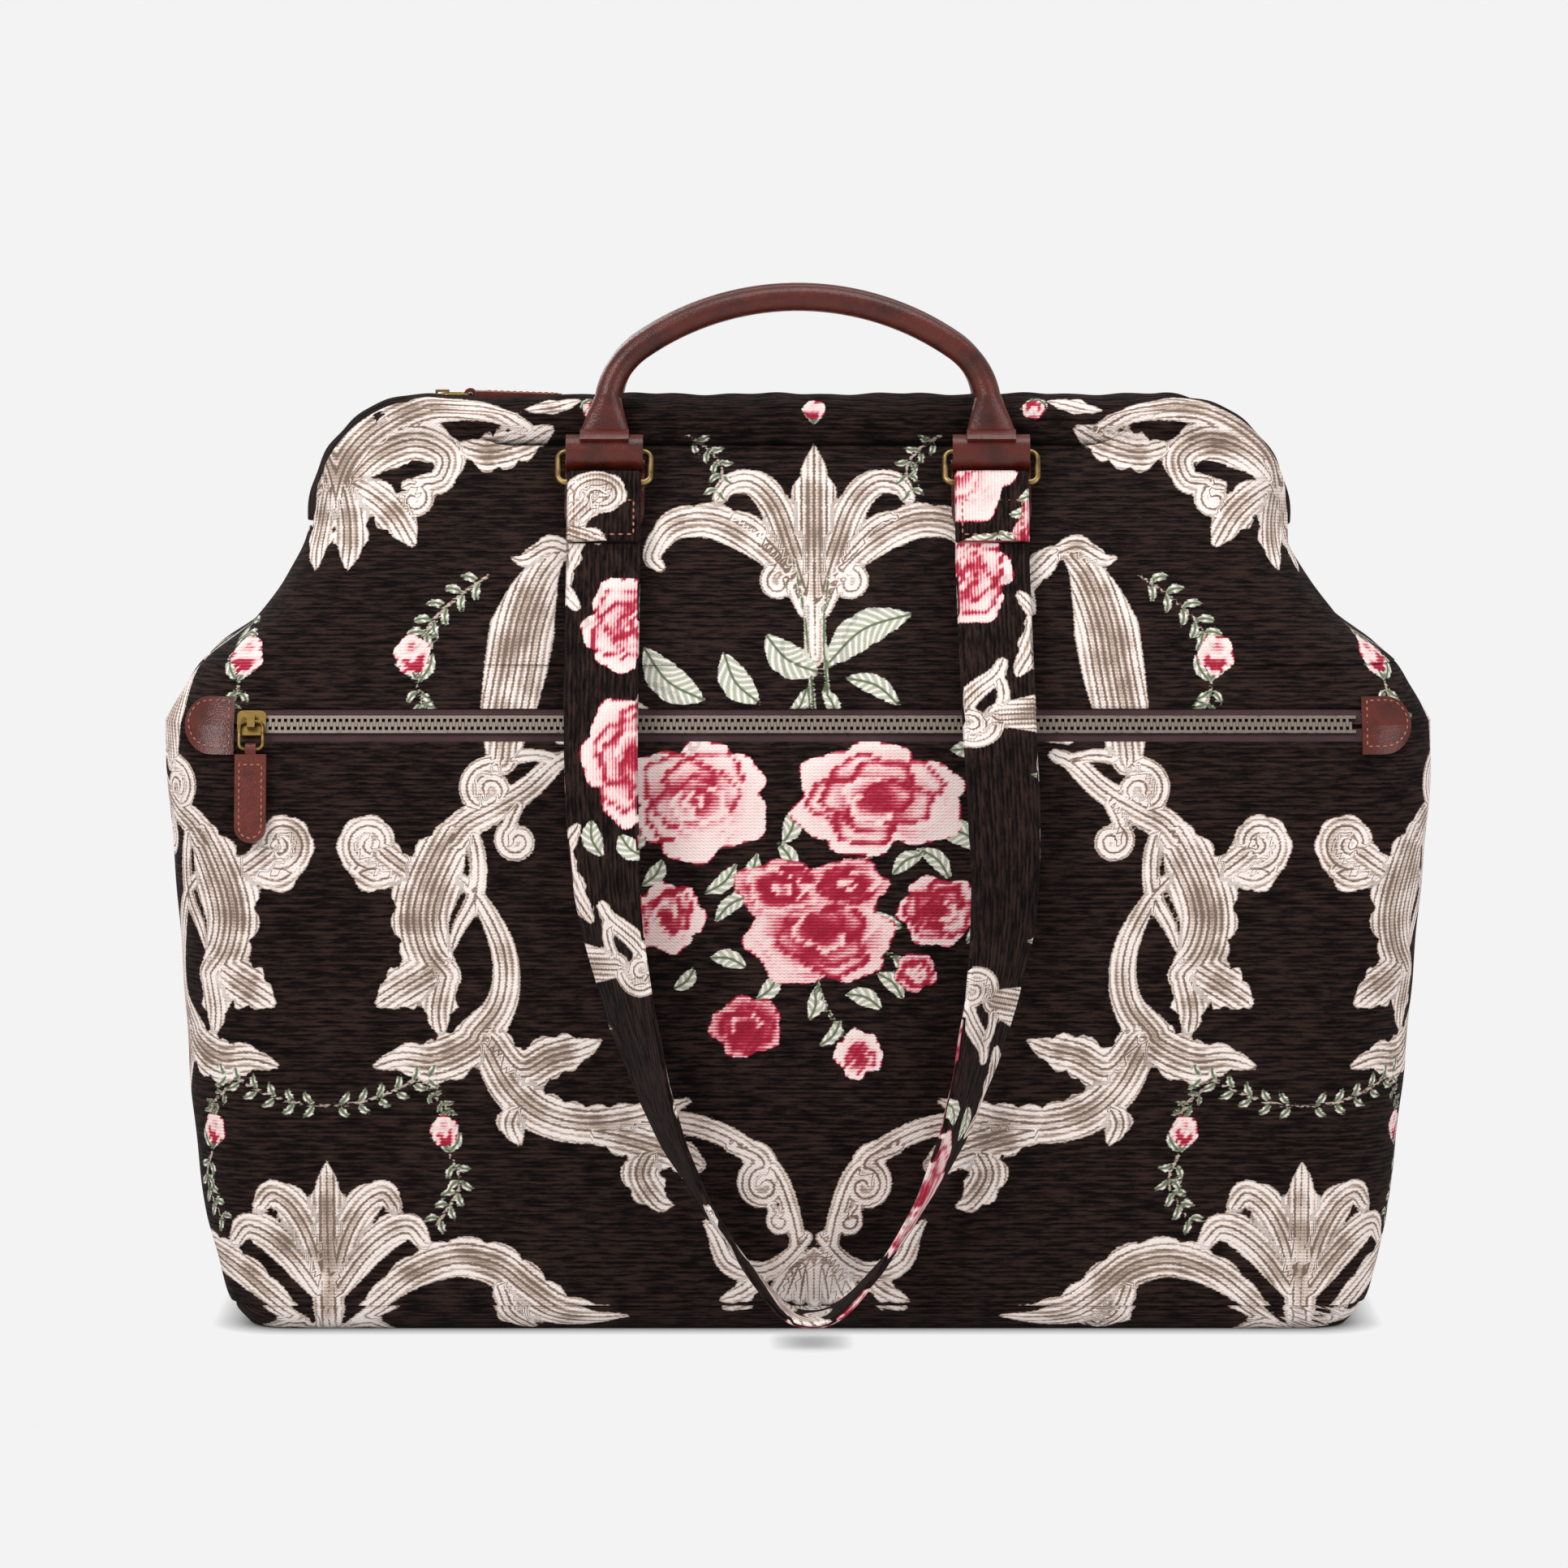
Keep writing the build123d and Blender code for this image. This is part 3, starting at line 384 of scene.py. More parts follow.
# Every figure is listed once, in mm on the cloth. Scrolls and palmettes: points along the rib,
# half widths, then how many lobes, how deep they are cut and on which side.
scrollFigures = [
    # central palmette, its arms and volutes
    ([(0, 262), (0, 282), (0, 300)], [3.2, 3.4, 6.5]),
    ([(0, 296), (0, 318), (0, 332), (0, 346)], [4.5, 8.5, 7.5, 0.4], 4, 0.2),
    ([(2, 284), (9, 306), (15, 322), (24, 331), (33, 330), (37, 325)],
     [3.2, 5.5, 6.5, 5.5, 4.5, 2.6], 5, 0.15, 1),
    ([(3, 284), (13, 302), (25, 314), (35, 317)], [2.4, 4.2, 4.2, 2.4], 3, 0.15),
    (spiral((13.5, 291), 7.5, 200, -1.15), [1.5, 2.6, 2.6, 2.2, 2.8]),
    ([(4, 280), (12, 297), (27, 310), (42, 316), (56, 313), (63, 302), (60, 297)],
     [2.0, 3.2, 5.0, 6.2, 6.0, 4.5, 2.0], 6, 0.2, 1),
    # tall acanthus each side of it, cut by the zip
    ([(98, 304), (106, 293), (112, 276), (115, 258), (118, 240), (120, 222)],
     [2.0, 7.5, 11.0, 10.5, 9.0, 5.0]),
    ([(95, 303), (103, 305), (112, 300), (117, 301)], [3.5, 4.4, 3.2, 0.8], 2, 0.2),
    ([(92, 302), (86, 296), (80, 290), (84, 280)], [4.0, 5.0, 4.5, 2.0], 3, 0.2),
    # corner spray that runs over the frame
    ([(112, 352), (128, 360), (150, 361), (170, 352), (183, 338), (189, 316)],
     [2.2, 4.5, 6.6, 8.0, 7.5, 2.5]),
    ([(184, 330), (170, 343), (155, 348), (143, 342), (145, 332), (153, 330)],
     [3.0, 6.0, 8.5, 7.0, 5.0, 3.2], 6, 0.18, -1),
    ([(184, 330), (181, 318), (180, 306), (181, 296)], [4.5, 7.0, 6.0, 0.5], 4, 0.2),
    ([(183, 332), (172, 326), (163, 318), (156, 307)], [3.5, 6.0, 7.5, 2.2], 4, 0.22),
    (spiral((156, 324), 6.5, 60, 1.1), [1.6, 2.6, 2.4, 2.8]),
    # drooping leaf and sprig under the frame, buds on top of it
    ([(103, 352), (115, 346), (128, 343), (140, 346)], [2.0, 6.5, 7.5, 0.6], 5, 0.25),
    ([(92, 366), (104, 362), (114, 360)], [1.0, 4.0, 0.8], 3, 0.2),
    ([(55, 232), (68, 239), (84, 236), (98, 230)], [2.0, 5.0, 5.5, 2.0], 4, 0.2),
    # side scroll: volutes, then the big leaf-work down to the C-scroll at the bottom
    ([(92, 224), (99, 221), (110, 211), (123, 203), (134, 197), (141, 188)],
     [2.0, 3.6, 4.0, 4.4, 5.5, 6.0]),
    ([(97, 222), (108, 224), (120, 222)] + spiral((125, 210.5), 9.5, 70, -1.2),
     [1.6, 2.2, 2.6, 2.4, 2.4, 3.2]),
    ([(112, 208), (116, 200)] + spiral((114, 191), 6.5, 60, -1.1), [2.0, 2.4, 2.6, 3.0]),
    ([(136, 198), (143, 186), (149, 172), (151, 160), (148, 148), (141, 139)],
     [3.5, 8.5, 11.5, 10.0, 8.5, 5.0], 7, 0.22, 1),
    ([(133, 200), (129, 185), (130, 170), (136, 158), (139, 150)], [1.4, 2.6, 3.0, 2.6, 1.2]),
    ([(137, 178), (128, 168), (120, 152), (118, 138), (121, 126), (129, 116)],
     [1.6, 2.6, 3.8, 4.4, 5.2, 7.0]),
    ([(140, 145), (150, 139), (160, 133), (166, 129)], [3.0, 7.0, 8.5, 3.0], 5, 0.25),
    ([(141, 140), (144, 126), (143, 116)], [3.5, 6.5, 1.0], 3, 0.2),
    ([(122, 122), (132, 112), (146, 106), (158, 107), (169, 104)], [4.5, 8.0, 8.5, 5.5, 0.8], 6, 0.22),
    ([(124, 116), (113, 103), (101, 108), (89, 111), (82, 114)], [5.0, 6.0, 8.0, 6.5, 0.8], 6, 0.22),
    ([(125, 112), (116, 96), (104, 86), (88, 82), (70, 84), (56, 88), (48, 91)],
     [5.5, 7.0, 7.5, 7.0, 6.0, 4.5, 0.8], 9, 0.2, -1),
    ([(112, 90), (116, 82), (113, 74)], [4.0, 5.5, 1.0], 3, 0.2),
    ([(88, 80), (70, 76), (55, 71), (45, 66)], [3.5, 7.0, 8.0, 4.0], 5, 0.22),
    ([(62, 72), (66, 62), (60, 52), (55, 50)], [4.5, 7.5, 6.0, 1.2], 4, 0.22),
    ([(70, 82), (50, 82), (32, 76), (16, 64), (9, 48), (6, 34)], [3.0, 3.6, 3.6, 3.2, 3.0, 2.4]),
    ([(32, 74), (22, 70)] + spiral((19, 58), 7.5, 90, -1.1), [2.6, 4.5, 4.0, 3.0, 3.0]),
    ([(18, 52), (14, 46)] + spiral((13, 44), 4.0, 40, -0.9), [1.4, 1.6, 2.4]),
    ([(3, 38), (12, 28), (22, 24), (33, 28), (38, 38), (42, 44)], [2.0, 2.8, 3.4, 4.0, 3.2, 0.8]),
    ([(20, 22), (28, 16), (36, 13)], [2.6, 4.0, 0.8], 3, 0.2),
    # rosette on a stem beside the big leaf
    ([(150, 176), (158, 180), (166, 186)], [3.0, 5.0, 6.0], 3, 0.15),
    (spiral((170, 190), 10.0, 250, 1.4, tight=0.2), [3.2, 4.2, 3.8, 3.0, 3.2], 8, 0.2, -1),
    ([(160, 178), (170, 176), (180, 184)], [2.6, 4.4, 0.6], 3, 0.2),
    # bottom palmette with its long arms
    ([(187.3, 24), (187.3, 44), (187.3, 56), (187.3, 67)], [5.5, 8.0, 6.5, 0.4], 4, 0.2),
    ([(186, 20), (181, 38), (174, 50), (166, 55), (161, 50)], [4.0, 6.0, 6.5, 5.5, 2.8], 5, 0.15, -1),
    ([(185, 16), (175, 30), (165, 39), (156, 42), (150, 36)], [3.5, 5.5, 6.0, 5.5, 2.8], 5, 0.15, -1),
    ([(187.3, -4), (187.3, 10), (187, 26)], [3.0, 5.0, 6.0]),
    ([(180, 2), (170, 12), (155, 24), (138, 30), (122, 27), (110, 18), (98, 10), (84, 8), (72, 9)],
     [1.6, 3.6, 5.4, 6.6, 7.2, 7.5, 6.5, 4.0, 0.6], 10, 0.2, -1),
    ([(120, 20), (116, 10), (108, 2)], [4.0, 6.0, 1.5], 3, 0.2),
    ([(183, 0), (172, 4), (164, -2)], [1.8, 3.2, 2.4]),
]
# ribs of the shell at the bottom of the middle
scrollFigures += [([(0, 33), (tip * 0.6, 26), (tip, 13 + tip * 0.25)], [0.9, 2.2, 2.6])
                  for tip in (0, 5.5, 10.5, 14.5)]
sprigFigures = [  # stem, length of its leaflets
    ([(50, 350), (41, 344), (36, 336), (38, 326)], 4.6),
    ([(126, 294), (136, 287), (146, 278), (151, 270)], 6.0),
    ([(153, 252), (151, 244), (145, 236)], 5.0),
    ([(187.3, 89), (175, 90), (163, 94), (152, 99), (143, 101)], 5.0),
    ([(150, 96), (143, 90), (140, 85)], 3.6),
    ([(140, 70), (136, 60), (139, 52), (145, 43)], 5.0),
]
budFigures = [  # middle, size, lean
    ((86, 361), 6.0, pi),
    ((0, 361), 6.0, 0.0),
    ((155, 263), 9.0, 0.25),
    ((142, 79), 7.0, 0.2),
]
leafFigures = [  # foot, tip, half width
    ((4, 258), (38, 279), 7.6), ((2, 256), (-19, 271), 7.0), ((-21, 244), (-35, 264), 6.4),
    ((-42, 245), (-66, 266), 7.4), ((12, 254), (33, 243), 4.2), ((-3, 250), (-12, 237), 3.0),
    ((3, 250), (8, 236), 3.0),
    ((44, 196), (68, 186), 5.2), ((40, 188), (52, 176), 3.6), ((60, 215), (72, 204), 5.0),
    ((52, 226), (70, 222), 4.4), ((-14, 190), (-8, 178), 3.4), ((-22, 186), (-30, 172), 3.6),
    ((-30, 182), (-42, 171), 3.6), ((-38, 160), (-24, 170), 3.4), ((-40, 146), (-26, 142), 3.8),
    ((-14, 140), (-22, 130), 3.6), ((12, 132), (26, 126), 3.8), ((24, 140), (34, 130), 3.4),
    ((30, 178), (42, 186), 3.4), ((34, 158), (22, 164), 3.2), ((0, 134), (-2, 122), 3.4),
    ((10, 122), (2, 112), 2.6), ((58, 152), (70, 158), 3.2), ((44, 140), (30, 146), 3.2),
    ((-58, 184), (-66, 174), 3.6), ((-46, 142), (-54, 134), 3.2), ((-66, 196), (-72, 188), 3.6),
    ((-8, 204), (-12, 190), 4.2),
]
stemFigures = [  # points, half width
    ([(-8, 300), (-4, 280), (-2, 262), (0, 240)], 0.7, 0.9),
    ([(6, 296), (4, 280), (4, 262), (6, 240)], 0.7, 0.9),
    ([(0, 140), (4, 128), (10, 118), (16, 112)], 0.7, 0.7),
    ([(-14, 142), (-20, 132), (-25, 124)], 0.7, 0.7),
    ([(20, 150), (32, 146), (40, 141)], 0.7, 0.7),
]
roseFigures = [  # middle, size, squash, how red, turn, and 1 for a small bloom
    ((-45, 207), 27, 0.86, -0.02, 0.5, 0),
    ((24, 207), 33, 0.66, 0.0, 1.4, 0),
    ((2, 156), 28, 0.74, 0.16, 2.2, 0),
    ((-12, 172), 17, 0.6, 0.28, 0.2, 1),
    ((13, 174), 14, 0.6, 0.26, 1.2, 1),
    ((48, 164), 16, 0.85, 0.12, 0.9, 0),
    ((-57, 162), 15, 0.9, 0.02, 2.9, 0),
    ((-26, 119), 12, 0.9, 0.3, 0.6, 1),
    ((17, 109), 8, 1.1, -0.12, 2.0, 1),
    ((39, 140), 7.5, 0.9, 0.2, 0.8, 1),
]
# petals of a rose from the outside in: how many, how far out, how wide, tone at foot and lip
whorls = [(6, 0.6, 0.44, 0.3, 0.95), (5, 0.44, 0.42, 0.1, 0.92), (4, 0.3, 0.36, 0.0, 0.85),
          (3, 0.15, 0.27, -0.05, 0.75), (2, 0.06, 0.15, -0.1, 0.45)]


# The figures at a set of places on the cloth, each as a signed distance in mm and two measures.
class Cloth:
    def __init__(self, u, v):
        half = patternLook["mirror"]
        free = (u + half) % (2 * half) - half
        self.free = np.stack([free, v], 1)
        self.mirrored = np.stack([np.abs(free), v], 1)
        self.scroll, self.leaves, self.rose = (
            np.tile([patternLook["outside"], 0.0, 0.0], (len(u), 1)) for _ in range(3))

    def ribbon(self, data, points, widths, lobes=0, lobeDepth=0.0, side=0, mirrored=True):
        place = self.mirrored if mirrored else self.free
        near, inside, across, along = ribbonField(place, flowing(points), widths, lobes, lobeDepth, side)
        if inside is not None:
            better = inside > data[near, 0]
            data[near[better]] = np.stack([inside[better], across[better], along[better]], 1)

    def leaf(self, root, tip, wide, mirrored=False):
        a, b = np.array(root, float), np.array(tip, float)
        bow = np.array([-(b - a)[1], (b - a)[0]]) * 0.12
        self.ribbon(self.leaves, [a, (a + b) / 2 + bow, b], [0.3, wide * 0.8, wide, wide * 0.75, 0.3],
                    lobes=4, lobeDepth=0.16, mirrored=mirrored)

    # a thin stem with paired leaflets
    def sprig(self, points, size):
        line = flowing(points, 5)
        self.ribbon(self.scroll, points, [0.55, 0.55])
        for k in range(2, len(line) - 1, 3):
            ahead = line[min(k + 1, len(line) - 1)] - line[k - 1]
            ahead = ahead / max(hypot(*ahead), 1e-6)
            for turn in (1, -1):
                aside = np.array([-ahead[1], ahead[0]]) * turn
                tip = line[k] + (ahead * 0.8 + aside) * size
                self.leaf(line[k] + aside * 0.4, tip, size * 0.3, mirrored=True)

    # one petal, red in the fold at its foot and pale at its lip, laid over the ones before
    def petal(self, middle, heading, size, squash, deep, pale, rim):
        ahead = np.array([cos(heading), sin(heading)])
        d = (self.free - np.array(middle)) / size
        d[:, 1] /= squash
        near = np.where(np.abs(d).max(1) < 1.5)[0]
        if not len(near):
            return
        d = d[near]
        wave = 1 + 0.07 * np.sin(5 * np.arctan2(d[:, 1], d[:, 0]) + heading * 3)
        inside = (wave - np.hypot(d[:, 0], d[:, 1])) * size * squash
        share = np.clip((d @ ahead + 0.9) / 1.8, 0, 1)
        tone = deep + (pale - deep) * share ** 1.3
        tone = tone + (rim - tone) * np.clip(1.25 - inside / 1.9, 0, 1)
        over = inside > 0
        self.rose[near[over], 1] = tone[over]
        self.rose[near, 0] = np.maximum(self.rose[near, 0], inside)

    # a closed bloom of three petals on each half of the cloth, with two sepals
    def bud(self, middle, size, lean):
        up = np.array([sin(lean), cos(lean)])
        m = np.array(middle, float)
        for sign in (1, -1):
            spot, ahead = m * (sign, 1), up * (sign, 1)
            turn = atan2(ahead[1], ahead[0])
            self.petal(spot, turn, size * 0.78, 1.1, 0.55, 1.0, 0.95)
            self.petal(spot - ahead * size * 0.25, turn, size * 0.45, 1.2, 0.1, 0.6, 0.2)
            self.petal(spot + ahead * size * 0.25, turn + pi, size * 0.4, 1.2, 0.3, 0.9, 0.9)
        for turn in (1, -1):
            aside = np.array([up[1], -up[0]]) * turn
            tip = m + aside * size * 0.85 - up * size * 0.1
            self.leaf(m - up * size * 1.2, tip, size * 0.26, mirrored=True)

    # a rose seen from above: whorls of petals laid over each other from the outside in
    def rosette(self, middle, size, squash, red, turn, small):
        draw = np.random.default_rng(int(abs(middle[0]) * 7 + size))
        grow = 1.35 if small else 1.0
        for k, (count, far, wide, deep, pale) in enumerate(whorls[1:] if small else whorls):
            for i in range(count):
                heading = turn + 2 * pi * (i + 0.5 * (k % 2)) / count + draw.uniform(-0.2, 0.2)
                spot = np.array(middle) + size * far * grow * np.array([cos(heading), sin(heading) * squash])
                reach = size * wide * grow * draw.uniform(0.9, 1.12)
                rim = 0.85 - red if k == 0 else draw.choice([0.12, 0.8, 0.2]) - 0.3 * red
                self.petal(spot, heading, reach, squash, deep - red, pale - red, rim)

    def draw(self):
        fuller, deeper = patternLook["swell"], patternLook["notch"]
        for points, widths, *cut in scrollFigures:
            lobes, lobeDepth, side = (cut + [0, 0, 0])[:3]
            widths = [w * fuller + patternLook["edge"] for w in widths]
            self.ribbon(self.scroll, points, widths, lobes, lobeDepth * deeper, side)
        for points, size in sprigFigures:
            self.sprig(points, size)
        for middle, size, lean in budFigures:
            self.bud(middle, size, lean)
        for root, tip, wide in leafFigures:
            self.leaf(root, tip, wide)
        for points, *widths in stemFigures:
            self.ribbon(self.leaves, points, widths, mirrored=False)
        for row in roseFigures:
            self.rosette(*row)


# Stores the cloth's coordinates and figures on the mesh's points.
def weaveOnto(mesh, u, v, figured=True):
    data = {"weave": np.stack([u, v, np.zeros(len(u))], 1)}
    if figured:
        cloth = Cloth(u - patternLook["middle"], v)
        cloth.draw()
        data.update(scroll=cloth.scroll, leaf=cloth.leaves, rose=cloth.rose)
    for name, values in data.items():
        made = mesh.attributes.new(name, "FLOAT_VECTOR", "POINT")
        made.data.foreach_set("vector", values.astype(np.float32).ravel())


bodyShape = {
    # height, half width, half depth, corner radius
    "lower": [(0, 212, 86, 15), (10, 221, 92, 18), (40, 229, 96, 25), (100, 235.5, 97, 31),
              (165, 240.5, 93.5, 31), (215, 245, 85.5, 29), (233.5, 245.5, 78.5, 28)],
    "upper": [(256, 233, 68, 27), (268, 214, 62, 25), (284, 201.5, 53.5, 23), (300, 192, 45, 22),
              (320, 190.5, 32.6, 18), (338, 190, 21.5, 10)],
    "bottomEdge": 10.0, "fold": 256.0, "top": 338.0,
    "seamLow": 58.0, "seamHigh": 44.0, "seamDip": 1.7, "seamWide": 3.2,  # gusset seams: half depth, furrow
    "zipZ": 233.5, "zipFlat": 14, "windowX": 216.5, "windowHalf": 6.16, "hem": 1.9,
    "soften": 5.0, "sag": 2.0, "tableStep": 0.25,
    "lipIn": 2.6, "lipUp": 1.2, "lipHub": (190, 40),  # where the lower cloth goes on behind the fold
}
zipZ, fold, bottomEdge = bodyShape["zipZ"], bodyShape["fold"], bodyShape["bottomEdge"]

# the hinged steel hoops, in whose plane all is measured from the rivets up
hoop = {"radius": 10.0, "y": 12.5, "z": 347.0, "corner": 36.5, "hinge": 262.0, "endV": 46.0,
        "innerLeg": 180.45, "outerLeg": 183.55, "gap": 0.15}
hoopRise = hypot(hoop["y"], hoop["z"] - hoop["hinge"])
hoopLean = atan2(hoop["y"], hoop["z"] - hoop["hinge"])

heights = np.arange(-30, 380, bodyShape["tableStep"])
stations = np.array(bodyShape["lower"] + bodyShape["upper"], float)
kernel = np.exp(-0.5 * (np.arange(-60, 61) * bodyShape["tableStep"] / bodyShape["soften"] * 1.6) ** 2)
kernel /= kernel.sum()


# The stations' values at every step of height, with their corners eased.
def softened(column):
    slopeLow = (stations[1, column] - stations[0, column]) / (stations[1, 0] - stations[0, 0])
    slopeHigh = (stations[-1, column] - stations[-2, column]) / (stations[-1, 0] - stations[-2, 0])
    raw = np.interp(heights, stations[:, 0], stations[:, column])
    raw += np.where(heights < stations[0, 0], (heights - stations[0, 0]) * slopeLow, 0)
    raw += np.where(heights > stations[-1, 0], (heights - stations[-1, 0]) * slopeHigh, 0)
    eased = np.convolve(raw, kernel, "same")
    # the zip lies on the unsoftened slope
    keep = np.clip(1 - np.abs(heights - zipZ) / bodyShape["zipFlat"], 0, 1) ** 0.5
    return raw * keep + eased * (1 - keep)


tables = [softened(column) for column in (1, 2, 3)]


# Half width, half depth and corner radius at a height.
def sizeAt(z):
    return [np.interp(z, heights, table) for table in tables]


# The point of the rounded rectangle at height z, s along it from the middle of the front, and
# the outward direction there. s is positive to the right.
def outlinePoint(z, s):
    width, deep, radius = sizeAt(z)
    side, s = np.sign(s), np.abs(s)
    straight = width - radius
    angle = np.clip((s - straight) / radius, 0, pi / 2)
    beyond = np.maximum(s - straight - radius * pi / 2, 0)
    x = np.where(s < straight, s, straight + radius * np.sin(angle))
    y = -(deep - radius) - radius * np.cos(angle) + beyond
    return x * side, y, np.sin(angle) * side, -np.cos(angle)


# How far round from the middle of the front the side reaches a given -y.
def arcLength(z, y):
    width, deep, radius = sizeAt(z)
    return (width - radius) + radius * pi / 2 + (deep - radius) - y


def arcOfX(z, x):
    width, _, radius = sizeAt(z)
    straight = width - radius
    over = np.clip((x - straight) / radius, 0, 1)
    return np.where(x < straight, x, straight + radius * np.arcsin(over))


def seamAt(z):
    return np.interp(z, [bottomEdge, fold], [bodyShape["seamLow"], bodyShape["seamHigh"]])


def furrow(distance, wide=bodyShape["seamWide"]):
    return bodyShape["seamDip"] * np.exp(-(distance / wide) ** 2)


# Soft hollows and swells of the stuffed cloth, in mm outwards, quiet near the zip and the ends.
def slump(x, z, phase):
    wide = np.sin(x / 47 + 1.1 + phase) * np.sin(z / 33 + 0.7 * phase)
    wide = wide + 0.6 * np.sin(x / 23 - z / 41 + 2.2 + phase)
    fine = 0.25 * np.sin(x / 11.5 + z / 17 + phase) * np.sin(z / 9.3 - x / 29)
    quiet = np.clip(np.abs(z - zipZ) / 30, 0, 1) * np.clip(z / 25, 0, 1) * np.clip((330 - z) / 40, 0, 1)
    return (wide * 0.55 + fine) * quiet * bodyShape["sag"]


# A flat grid whose points are then moved: the bmesh with each point's column and row.
def gridMesh(columns, rows):
    bm = bmesh.new()
    bmesh.ops.create_grid(bm, x_segments=columns, y_segments=rows, size=1)
    bm.verts.ensure_lookup_table()
    places = [((v.co.x + 1) / 2 * columns, (v.co.y + 1) / 2 * rows) for v in bm.verts]
    return bm, *np.rint(places).astype(int).T


# Each point of the mesh with its place in mm and its place on the cloth.
def spotsOf(bm, points, u, v):
    return {vert: (*point, a, b) for vert, point, a, b in zip(bm.verts, points, u, v)}


# Extrudes edges and moves the new points to where target(vert, place) says.
def turnIn(bm, spots, rim, target):
    made = bmesh.ops.extrude_edge_only(bm, edges=rim)
    fresh = {g for g in made["geom"] if isinstance(g, bmesh.types.BMVert)}
    for vert in fresh:
        for e in vert.link_edges:
            other = e.other_vert(vert)
            if other not in fresh:
                spots[vert] = (*target(other, Vector(spots[other][:3])), *spots[other][3:])


# Moves the points to their place, stores the pattern and hands the piece to the frame.
def finishMesh(bm, name, spots, body=None, replaced=None, figured=True, recalc=False, turned=False):
    if turned:
        shift = patternLook["rearShift"]
        spots = {vert: (-p[0], -p[1], p[2], p[3] + shift, p[4]) for vert, p in spots.items()}
    values = np.array([spots[vert] for vert in bm.verts])
    for vert, point in zip(bm.verts, values[:, :3]):
        vert.co = point
    if recalc:
        bmesh.ops.recalc_face_normals(bm, faces=bm.faces)
    mesh = bpy.data.meshes.new(name)
    for face in bm.faces:
        face.smooth = True
    bm.to_mesh(mesh)
    bm.free()
    weaveOnto(mesh, values[:, 3], values[:, 4], figured)
    mesh.transform(Matrix.Scale(mm, 4))
    mesh.materials.append(tapestry if figured else plainChenille)
    piece = bpy.data.objects.new(name, mesh)
    bpy.context.scene.collection.objects.link(piece)
    if body:
        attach(piece, body)
    if replaced:
        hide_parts(replaced)
    return piece


# What the pattern shows at a height when it is looked at from a little above.
def patternHeight(z, y):
    return z + patternLook["slope"] * (patternLook["plane"] - np.abs(y))


def underFold(vert, place):
    wide, deep = bodyShape["lipHub"]
    hub = Vector((max(-wide, min(wide, place.x)), max(-deep, min(deep, place.y)), place.z))
    return place + (hub - place).normalized() * bodyShape["lipIn"] + Vector((0, 0, bodyShape["lipUp"]))


# The front and rear panels: the face, both corners and the sides as far as the gusset seams.
panelLook = {
    # columns, rows, columns of half the zip's window, rows at its two edges
    "front": (352, 154, 133, 136, 144), "rear": (252, 110, 95, 97, 102),
    "faceZ": [0, 10, 40, 100, 165, 222, 245, 256], "faceX": [197, 203, 204, 204.5, 209, 216.5, 216.5, 209],
    # the welt round the window: height, distance from the opening, half width; then its furrow
    "welt": (0.55, 2.4, 2.2), "weltFurrow": (0.5, 5.6, 1.0),
}


def mainPanel(end):
    rear = end == "rear"
    columns, rows, windowColumns, lowRow, highRow = panelLook[end]
    bm, column, row = gridMesh(columns, rows)
    low, high = zipZ - bodyShape["windowHalf"], zipZ + bodyShape["windowHalf"]
    z = np.interp(row, [0, lowRow, highRow, rows], [bottomEdge, low, high, fold])
    a = 2 * column / columns - 1
    inner = 2 * windowColumns / columns
    xInner = np.interp(z, panelLook["faceZ"], panelLook["faceX"])
    sInner, sEdge = arcOfX(z, xInner), arcLength(z, seamAt(z))
    share = np.abs(a) / inner
    onSide = sInner + (np.abs(a) - inner) / (1 - inner) * (sEdge - sInner)
    s = np.where(share <= 1, arcOfX(z, np.minimum(share, 1) * xInner), onSide)
    s = s * np.sign(a)
    x, y, nx, ny = outlinePoint(z, s)
    edge = sEdge - np.abs(s)
    out = slump(x, z, 2.6 if rear else 0.0) * np.clip(edge / 20, 0, 1) - furrow(edge)
    if not rear:
        gap = np.maximum(np.abs(z - zipZ) - bodyShape["windowHalf"], np.abs(x) - bodyShape["windowX"])
        rise, place, half = panelLook["welt"]
        out += rise * np.exp(-((np.maximum(gap, 0) - place) / half) ** 2)
        rise, place, half = panelLook["weltFurrow"]
        out -= rise * np.exp(-((gap - place) / half) ** 2)
    points = np.stack([x + nx * out, y + ny * out, z], 1)
    spots = spotsOf(bm, points, s, patternHeight(z, sizeAt(z)[1]))
    topEdge = [e for e in bm.edges if all(row[p.index] == rows for p in e.verts)]

    def inWindow(verts):
        return all(lowRow <= row[p.index] <= highRow and abs(a[p.index]) <= inner + 1e-6 for p in verts)

    def inwards(vert, place):
        beside = -place.x * 0.3 if abs(place.x) > bodyShape["windowX"] + 0.5 else 0
        return place + Vector((beside, -place.y, 0)).normalized() * bodyShape["hem"]

    if not rear:
        bmesh.ops.delete(bm, geom=[f for f in bm.faces if inWindow(f.verts)], context="FACES")
    # the cloth is turned under along the zip
    turnIn(bm, spots, [e for e in bm.edges if e.is_boundary and inWindow(e.verts)], inwards)
    turnIn(bm, spots, topEdge, underFold)
    return finishMesh(bm, end + "PanelCloth", spots, "bag", end + "_panel", turned=rear)


# The narrow end panel between the two seams, drawn in a little at its middle.
gussetLook = {"columns": 60, "rows": 130, "drawnIn": 1.4, "ripple": 0.7, "ripplePitch": 21, "patternU": 290,
              "deep": 90}


